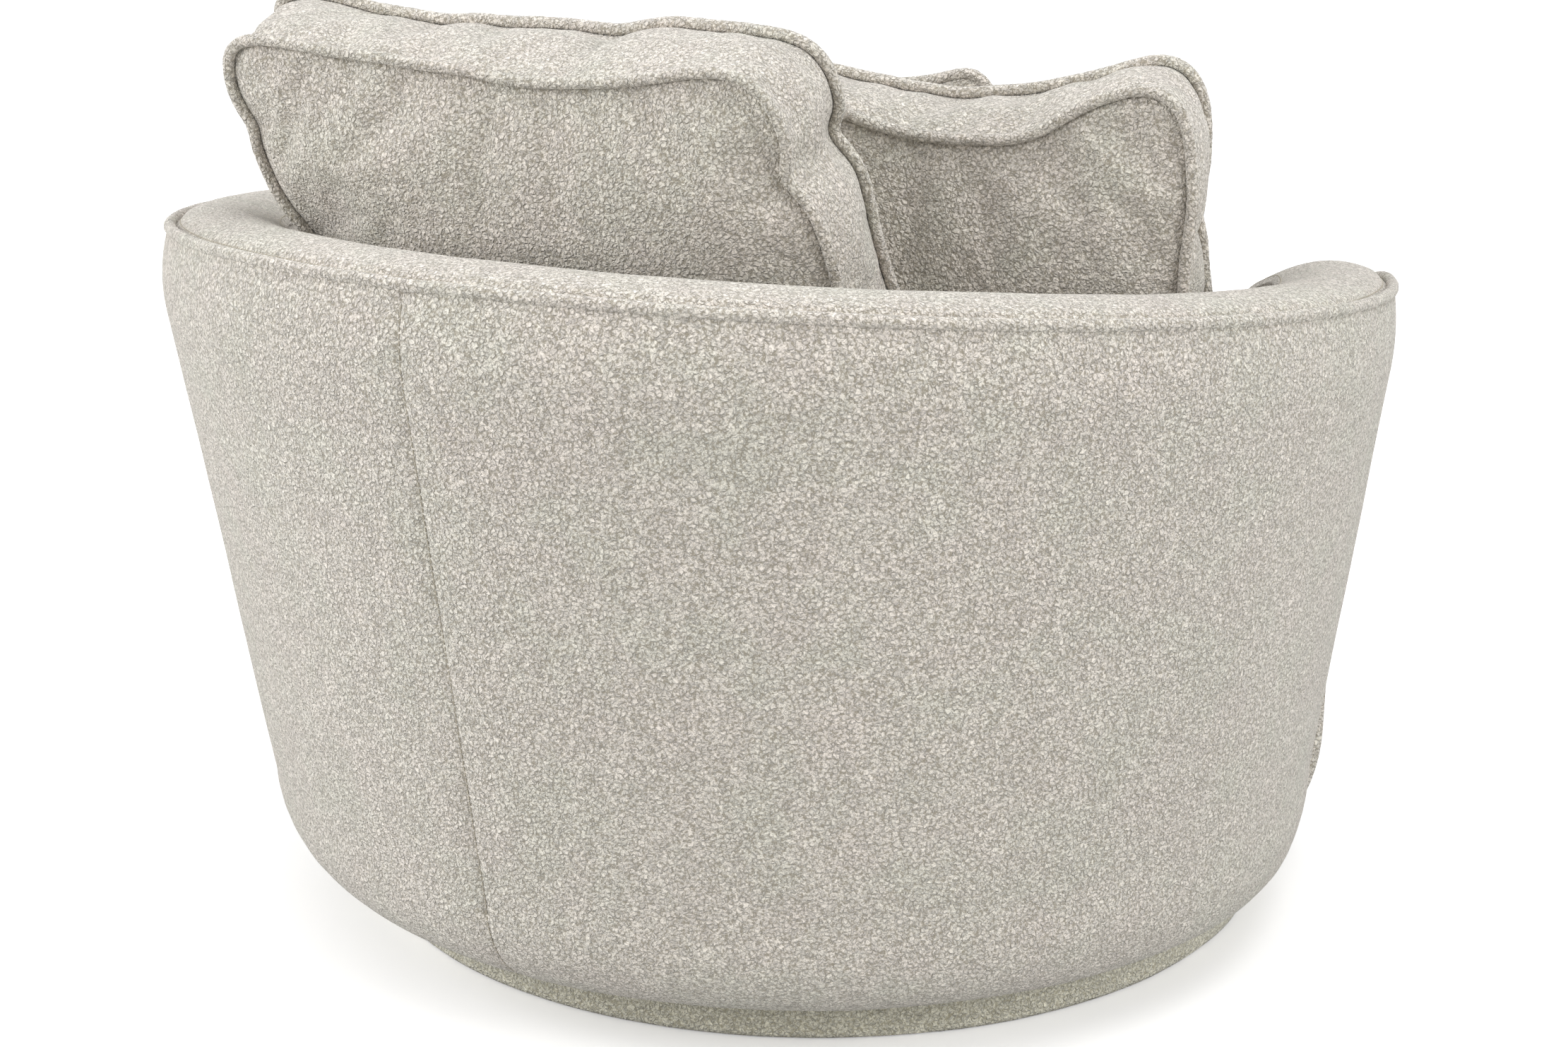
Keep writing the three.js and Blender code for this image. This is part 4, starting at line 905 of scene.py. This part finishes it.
def fill_with_air(piece, seams, grow, keep_flat):
    """Fills a cover as cloth held at its seams, then keeps the shape it took within the swell limit.

    keep_flat lists the points of an underside that lies on the deck and is held down for the most part.
    """
    held_down, tiny = 0.6, 1e-9
    scene = bpy.context.scene
    sizes = scene.cuddle_cushions
    mesh = piece.data
    start = coordinates(mesh)
    group = piece.vertex_groups.new(name="seams")
    group.add(seams, 1.0, "REPLACE")
    if keep_flat:
        group.add(keep_flat, held_down, "REPLACE")
    cloth = piece.modifiers.new("fill", "CLOTH")
    settings = cloth.settings
    settings.quality = 6
    settings.mass = 0.25
    settings.tension_stiffness = settings.compression_stiffness = 18
    settings.shear_stiffness = 6
    settings.bending_stiffness = 0.6
    settings.use_pressure = True
    settings.uniform_pressure_force = sizes.pressure
    settings.shrink_min = -grow
    settings.vertex_group_mass = "seams"
    settings.effector_weights.gravity = 0
    cloth.collision_settings.use_collision = False
    for number in range(1, sizes.frames + 1):
        scene.frame_set(number)
    move = coordinates(piece.evaluated_get(bpy.context.evaluated_depsgraph_get()).data) - start
    limit = np.minimum(sizes.swell_limit, sizes.swell_slope * nearest(start, start[seams]))
    size = np.linalg.norm(move, axis=1)
    allowed = np.minimum(size, limit) / np.maximum(size, tiny)
    piece.modifiers.remove(cloth)
    piece.vertex_groups.remove(group)
    mesh.vertices.foreach_set("co", (start + move * allowed[:, None]).ravel())
    mesh.update()
    scene.frame_set(1)


def subdivide(piece, seams):
    """Smooths a cover once, and keeps its seam loops sharp."""
    mesh = piece.data
    sharp = set(seams)
    crease = mesh.attributes.new("crease_edge", "FLOAT", "EDGE")
    crease.data.foreach_set("value", [float(sharp.issuperset(edge.vertices)) for edge in mesh.edges])
    smooth = piece.modifiers.new("smooth", "SUBSURF")
    smooth.levels = smooth.render_levels = 1
    settle_modifiers(piece)


def square_outline(width, height, draw_in, power, step):
    """A square with rounded corners whose sides draw in towards their middles."""
    points = []
    for angle in np.linspace(0, FULL_TURN, 720, endpoint=False):
        a, b = math.cos(angle), math.sin(angle)
        norm = (abs(a) ** power + abs(b) ** power) ** (1 / power)
        x, y = a / norm, b / norm
        points.append((x * width / 2 * (1 - draw_in * (1 - y ** 2)), y * height / 2 * (1 - draw_in * (1 - x ** 2))))
    return resample(points, step, True)


def seam_shift(outline, width, height, seam, seed, ripple):
    """How a seam loop leaves its plain outline.

    A seam has a sway that moves and widens its upper half, and nudges. Each nudge moves the stretch near a
    place, given as shares of the half width and half height with a spread. A ripple stands for the sewing.
    """
    ripple_size, wide_ripple, sway_start, sway_rise = 50 * MM, 150 * MM, 0.15, 0.65
    out = outwards_of(outline)
    (lean, widen), nudges = seam
    shift = np.zeros((len(outline), 3))
    for i, (x, y) in enumerate(outline):
        a, b = 2 * x / width, 2 * y / height
        inwards = soft((x, y, seed), (ripple_size, ripple))
        depth = soft((x, y, seed + 7), (ripple_size, ripple)) + soft((x, y, seed + 9), (wide_ripple, 1.5 * ripple))
        right, up = (lean + widen * a) * MM * ease((b - sway_start) / sway_rise), 0
        for across, high, spread, nudge_right, nudge_up in nudges:
            weight = bell(math.hypot(a - across, b - high), spread)
            right += nudge_right * MM * weight
            up += nudge_up * MM * weight
        shift[i] = (right - out[i, 0] * inwards, up - out[i, 1] * inwards, depth)
    return shift


def scatter_place(name):
    """A scatter cushion's frame: X across it, Y up its height and Z towards the chair's back."""
    low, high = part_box(name + "_cover")
    up = Vector(next(j["axis"] for j in frame["joints"] if j["name"] == name + "_lift")).normalized()
    level = Vector((up.x, up.y, 0)).normalized()
    depth = level * up.z - Vector((0, 0, math.hypot(up.x, up.y)))
    place = Matrix((up.cross(depth), up, depth)).transposed().to_4x4()
    place.translation = (low + high) / 2
    return place


def dress_cushion(name, piece, seams, loops, place, welts, grow, fill, keep_flat=()):
    """Fills a cushion, smooths it, sews its welts on and hides the solids that it stands for."""
    radius = bpy.context.scene.cuddle_cushions.welt_radius
    proud, past_face, step = 0.8 * radius, 0.48 * radius, 4 * MM
    fill_with_air(piece, seams, grow, keep_flat)
    subdivide(piece, seams)
    side, centre = np.array(place.to_3x3().col[2]), np.array(place.translation)
    for loop, (welt, sign) in zip(loops, welts):
        line = resample(loop, step, True)
        out = np.cross(tangents(line, True), side)
        out *= np.sign(((line - centre) * out).sum(axis=1).mean())
        line = line + out * proud + side * sign * past_face
        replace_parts(build_welt(welt + "_cloth", line, radius, side, name), welt)
    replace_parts(piece, name + "_cover")
    build_fill(name, piece)


def build_fill(name, cover):
    """The pad inside a cover: the cover's own form, smaller by the cloth and the slack between them."""
    slack = 0.93
    node, slot = (name + "_foam", "foam") if name + "_foam" in frame["nodes"] else (name + "_fill", "fibre")
    pad = show(node + "_pad", cover.data.copy(), slot, name)
    points = coordinates(pad.data)
    middle = (points.min(axis=0) + points.max(axis=0)) / 2
    pad.data.vertices.foreach_set("co", (middle + (points - middle) * slack).ravel())
    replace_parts(pad, node)


# Each seam's sway and widening in mm, and its nudges: place across and up, spread, and mm right and up
LARGE_SEAMS = (
    ((-36, 10), [(0.2, 1, 0.42, 0, -16), (-1, 1, 0.25, -16, 18), (0.9, 1, 0.2, 0, 8), (1, 0.63, 0.08, -14, 0),
                 (1, 0.4, 0.2, 6, 0), (-1, 0.42, 0.16, -14, 0), (-1, 0.66, 0.06, 6, 0), (-1, 0.2, 0.7, -12, 0)]),
    ((-44, 8), [(-0.2, 1, 0.9, 0, -22), (-0.5, 1, 0.2, 0, -6), (0.22, 1, 0.12, 0, -7), (0.8, 1, 0.35, 0, -12),
                (1, 0.56, 0.09, -18, 0), (1, 0.2, 0.3, -18, 0), (-1, 1, 0.35, -38, 16), (-1, 0.2, 0.7, -12, 0)]),
)
MEDIUM_SEAMS = (
    ((4, 4), [(0, 1, 1.6, 0, -12), (0.1, 1, 0.48, 0, -40), (1, 0.4, 0.6, 14, 0), (0.45, 1, 0.2, 0, -12),
              (0.95, 1, 0.3, 6, 22)]),
    ((0, 0), [(0, 1, 1.6, 0, -15), (0, 1, 0.5, 0, -36), (1, 0.36, 0.15, -9, 0), (-0.9, 1, 0.45, 0, -22),
              (0.5, 1, 0.3, 0, -12), (0.95, 1, 0.2, 2, 10)]),
)
SMALL_SEAM = ((0, 0), [(0, 1, 1.2, 0, -11), (0.2, 1, 0.3, 0, -4), (1, 0.8, 0.35, -14, 0), (0.92, 1, 0.16, 0, 12),
                       (-0.5, 1, 0.4, 0, -8)])


def build_scatter(name, width, height, shapes, seed):
    """A box scatter cushion with a welt on both seams, of which the rear one comes first."""
    sizes = bpy.context.scene.cuddle_cushions
    crown, crown_width, bulge, ripple = 26 * MM, 70 * MM, 4 * MM, 2.5 * MM
    draw_in, squareness, border_rows, grow, fill = 0.03, 8, 10, 0.03, 0.7
    outline = square_outline(width, height, draw_in, squareness, sizes.mesh_step)
    place = scatter_place(name)
    shifts = [seam_shift(outline, width, height, shape, seed + i, ripple) for i, shape in enumerate(shapes)]
    pad = build_pad(name, outline, sizes.border / 2, crown, crown_width, border_rows, bulge, shifts, place)
    dress_cushion(name, *pad, place, [(name + "_piping_back", 1), (name + "_piping_front", -1)], grow, fill)


def build_small_scatter(name, seed):
    """A knife-edged scatter cushion with one welt."""
    sizes = bpy.context.scene.cuddle_cushions
    width, crown, crown_width, ripple = sizes.small_width, 46 * MM, 90 * MM, 2.5 * MM
    draw_in, squareness, grow, fill = 0.07, 9, 0.03, 0.8
    outline = square_outline(width, width, draw_in, squareness, sizes.mesh_step)
    place = scatter_place(name)
    shift = seam_shift(outline, width, width, SMALL_SEAM, seed, ripple)
    piece, seams, loops = build_pad(name, outline, sizes.small_border / 2, crown, crown_width, 1, 0, [shift, shift],
                                    place)
    dress_cushion(name, piece, seams, [(loops[0] + loops[1]) / 2], place, [(name + "_piping", 0)], grow, fill)


def seat_outline(form, sizes):
    """Outline of the seat cushion: round inside the wall, eared past the arms and bowed at the front."""
    points = []
    for angle in np.linspace(0, FULL_TURN, 1440, endpoint=False):
        blend = ease((min(angle, FULL_TURN - angle) - sizes.ear_start) / (sizes.ear_end - sizes.ear_start))
        reach = sizes.seat_side_radius * (1 - blend) + form.about_swivel(angle, sizes.seat_front_radius) * blend
        points.append((-reach * math.sin(angle), reach * math.cos(angle)))
    return resample(points, sizes.mesh_step * 1.2, True)


def build_seat_cushion(form):
    """The loose seat cushion: a foam slab with a fibre wrap in a welted cover, crowned at the top."""
    name, welts = "seat_cushion", ("seat_piping_lower", "seat_piping_upper")
    crown, crown_width, bulge, ripple = 12 * MM, 80 * MM, 4 * MM, 2 * MM
    border_rows, grow, fill, sag = 12, 0.015, 0.8, 4 * MM
    bottom, top = (sum(corner.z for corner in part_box(welt)) / 2 for welt in welts)
    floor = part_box("seat_cushion_cover")[0].z + 0.5 * MM
    outline = seat_outline(form, bpy.context.scene.cuddle_cushions)
    place = Matrix.Rotation(math.pi, 4, "Y")
    place.translation = (0, form.rim_y, (bottom + top) / 2)
    shifts = [seam_shift(outline, 2, 2, ((0, 0), []), seed, ripple) * (1, 1, 0.6) for seed in (21, 25)]
    piece, seams, loops = build_pad(name, outline, (top - bottom) / 2, crown, crown_width, border_rows, bulge, shifts,
                                    place)
    underside = [vertex for vertex in piece.data.vertices if vertex.co.z < bottom]
    for vertex in underside:
        vertex.co.z = max(floor, bottom - sag)
    flat = [vertex.index for vertex in underside]
    dress_cushion(name, piece, seams, loops, place, [(welt, 0) for welt in welts], grow, fill, flat)
    for vertex in piece.data.vertices:
        vertex.co.z = max(vertex.co.z, floor)


# Operators

class CUDDLE_OT_finishes(bpy.types.Operator):
    """Makes the finishes and gives the frame's own pieces theirs"""

    bl_idname = "cuddle.finishes"
    bl_label = "Finishes"

    def execute(self, context):
        make_finishes()
        slots = {row["node"]: row["material_slot"] for row in frame["record"]["subparts"]}
        for node, piece in frame["nodes"].items():
            piece.data.materials.clear()
            piece.data.materials.append(FINISHES[slots[node]])
        return {"FINISHED"}


class CUDDLE_OT_tub(bpy.types.Operator):
    """Covers the tub's outside, band and inside, and sews its piping and stitches"""

    bl_idname = "cuddle.tub"
    bl_label = "Tub covers"

    def execute(self, context):
        form = TubForm(context.scene.cuddle_tub)
        build_outer_cover(form, 1)
        build_outer_cover(form, -1)
        build_centre_seam(form)
        build_band(form)
        build_rim_piping(form)
        build_inner_cover(form)
        build_apron(form)
        return {"FINISHED"}


class CUDDLE_OT_plinth(bpy.types.Operator):
    """Wraps the plinth"""

    bl_idname = "cuddle.plinth"
    bl_label = "Plinth wrap"

    def execute(self, context):
        build_plinth_wrap(TubForm(context.scene.cuddle_tub))
        return {"FINISHED"}


class CUDDLE_OT_foams(bpy.types.Operator):
    """Rounds the tub's foams and its deck pad"""

    bl_idname = "cuddle.foams"
    bl_label = "Foams"

    def execute(self, context):
        form = TubForm(context.scene.cuddle_tub)
        for node in ("band_foam", "inner_foam", "apron_foam"):
            settle_arm_ends(soften_solid(node, node + "_slab", "foam", 1.5 * MM), form)
        # The deck pad wears the plinth's copy of the boucle, whose colours carry painted light and shade.
        soften_solid("deck_pad", "deck_pad_cloth", "boucle_shade")
        return {"FINISHED"}


class CUDDLE_OT_seat_cushion(bpy.types.Operator):
    """Sews and fills the loose seat cushion"""

    bl_idname = "cuddle.seat_cushion"
    bl_label = "Seat cushion"

    def execute(self, context):
        build_seat_cushion(TubForm(context.scene.cuddle_tub))
        return {"FINISHED"}


class CUDDLE_OT_scatter_cushions(bpy.types.Operator):
    """Sews and fills the three scatter cushions"""

    bl_idname = "cuddle.scatter_cushions"
    bl_label = "Scatter cushions"

    def execute(self, context):
        s = context.scene.cuddle_cushions
        build_scatter("scatter_large", s.large_width, s.large_height, LARGE_SEAMS, 1)
        build_scatter("scatter_medium", s.medium_width, s.medium_height, MEDIUM_SEAMS, 5)
        build_small_scatter("scatter_small", 12)
        return {"FINISHED"}


class CUDDLE_OT_stage(bpy.types.Operator):
    """Lays the pale floor and sets the soft lights and the camera"""

    bl_idname = "cuddle.stage"
    bl_label = "Stage"

    def execute(self, context):
        build_floor()
        build_lights()
        build_camera()
        return {"FINISHED"}


def build_floor():
    """A wide pale floor that takes the chair's shadow and reads white around it, more so the farther away."""
    half, near, far, near_glow, far_glow = 60.0, 0.6, 3.0, 0.24, 0.7
    mesh = bpy.data.meshes.new("floor")
    mesh.from_pydata([(-half, -half, 0), (half, -half, 0), (half, half, 0), (-half, half, 0)], [], [(0, 1, 2, 3)])
    floor = link(bpy.data.objects.new("floor", mesh))
    material, tree, shader, place = new_material("matt white painted floor", 0.9, specular_ior_level=0.0)
    path = add_node(tree, "LightPath").outputs["Is Camera Ray"]
    grey = bpy.context.scene.cuddle_colours.floor
    colour = add_node(tree, "Mix", {0: path, 6: rgba(grey), 7: (1, 1, 1, 1)}, data_type="RGBA")
    tree.links.new(colour.outputs[2], shader.inputs["Base Color"])
    away = add_node(tree, "VectorMath", {0: place}, operation="LENGTH").outputs["Value"]
    paler = add_node(tree, "MapRange", {"Value": away, "From Min": near, "From Max": far, "To Min": near_glow,
                                        "To Max": far_glow}).outputs[0]
    strength = add_node(tree, "Math", {0: path, 1: paler}, operation="MULTIPLY")
    glow = add_node(tree, "Emission", {"Color": (1, 1, 1, 1), "Strength": strength.outputs[0]})
    both = add_node(tree, "AddShader", {0: shader.outputs[0], 1: glow.outputs[0]})
    tree.links.new(both.outputs[0], tree.nodes["Material Output"].inputs["Surface"])
    mesh.materials.append(material)


# Each lamp's name, place, width in metres and watts
LAMPS = (
    ("overhead", (-0.7, -0.3, 3.8), 3.0, 60),
    ("left", (4.0, 2.4, 2.4), 2.2, 95),
    ("right", (-4.2, 0.6, 2.2), 2.2, 85),
    ("camera side", (1.6, 4.4, 2.2), 2.6, 80),
)


def build_lights():
    """A white sky for even light, and wide soft lamps overhead, to both sides and on the camera's side."""
    sky_light, sky_seen, aim = 0.54, 1.0, Vector((0, 0, 0.4))
    world = bpy.data.worlds.new("studio")
    bpy.context.scene.world = world
    world.use_nodes = True
    tree = world.node_tree
    path = add_node(tree, "LightPath")
    seen = add_node(tree, "Math", {0: path.outputs["Is Camera Ray"], 1: path.outputs["Is Glossy Ray"]},
                    operation="MAXIMUM")
    strength = add_node(tree, "MapRange", {"Value": seen.outputs[0], "To Min": sky_light, "To Max": sky_seen})
    back = tree.nodes["Background"]
    back.inputs["Color"].default_value = (1, 1, 1, 1)
    tree.links.new(strength.outputs[0], back.inputs["Strength"])
    for name, spot, size, power in LAMPS:
        light = bpy.data.lights.new(name, "AREA")
        light.size, light.energy = size, power
        lamp = link(bpy.data.objects.new(name, light))
        lamp.location = spot
        lamp.rotation_mode = "QUATERNION"
        lamp.rotation_quaternion = (aim - Vector(spot)).to_track_quat("-Z", "Y")


def build_camera():
    """The photograph's view, from behind and above, found by fitting the rim, the silhouette and the plinth."""
    photo_width, focal_pixels, sensor = 2220, 3820, 36.0
    from_rim_axis, pitch, heading = (-1.386, 2.295, 1.165), math.radians(16.38), (0.5168, -0.8561)
    data = bpy.data.cameras.new("photo view")
    data.sensor_width = sensor
    data.sensor_fit = "HORIZONTAL"
    data.lens = sensor * focal_pixels / photo_width
    camera = link(bpy.data.objects.new("photo view", data))
    camera.location = Vector(from_rim_axis) + Vector((0, rim_axis(), 0))
    level = Vector((*heading, 0)).normalized() * math.cos(pitch)
    camera.rotation_mode = "QUATERNION"
    camera.rotation_quaternion = Vector((level.x, level.y, -math.sin(pitch))).to_track_quat("-Z", "Y")
    bpy.context.scene.camera = camera
    bpy.context.scene.view_settings.view_transform = "Standard"


class CUDDLE_PT_panel(bpy.types.Panel):
    """Shows a button for each step that builds the chair"""

    bl_label = "Cuddle Chair"
    bl_idname = "CUDDLE_PT_panel"
    bl_space_type = "VIEW_3D"
    bl_region_type = "UI"
    bl_category = "Cuddle Chair"

    def draw(self, context):
        for operator in OPERATORS:
            self.layout.operator(operator.bl_idname)


OPERATORS = (
    CUDDLE_OT_stage,
    CUDDLE_OT_finishes,
    CUDDLE_OT_plinth,
    CUDDLE_OT_tub,
    CUDDLE_OT_foams,
    CUDDLE_OT_seat_cushion,
    CUDDLE_OT_scatter_cushions,
)
GROUPS = {"cuddle_tub": CuddleTubSizes, "cuddle_cushions": CuddleCushionSizes, "cuddle_colours": CuddleColours}


def register():
    """Registers the classes and hangs the settings on the scene."""
    for group in (*GROUPS.values(), *OPERATORS, CUDDLE_PT_panel):
        bpy.utils.register_class(group)
    for name, group in GROUPS.items():
        setattr(bpy.types.Scene, name, PointerProperty(type=group))


def unregister():
    """Takes the settings off the scene and unregisters the classes."""
    for name in GROUPS:
        delattr(bpy.types.Scene, name)
    for group in reversed((*GROUPS.values(), *OPERATORS, CUDDLE_PT_panel)):
        bpy.utils.unregister_class(group)


def main():
    """Builds the whole chair and its stage."""
    register()
    bpy.ops.cuddle.stage()
    bpy.ops.cuddle.finishes()
    bpy.ops.cuddle.plinth()
    bpy.ops.cuddle.tub()
    bpy.ops.cuddle.foams()
    bpy.ops.cuddle.seat_cushion()
    bpy.ops.cuddle.scatter_cushions()


if __name__ == "__main__":
    main()
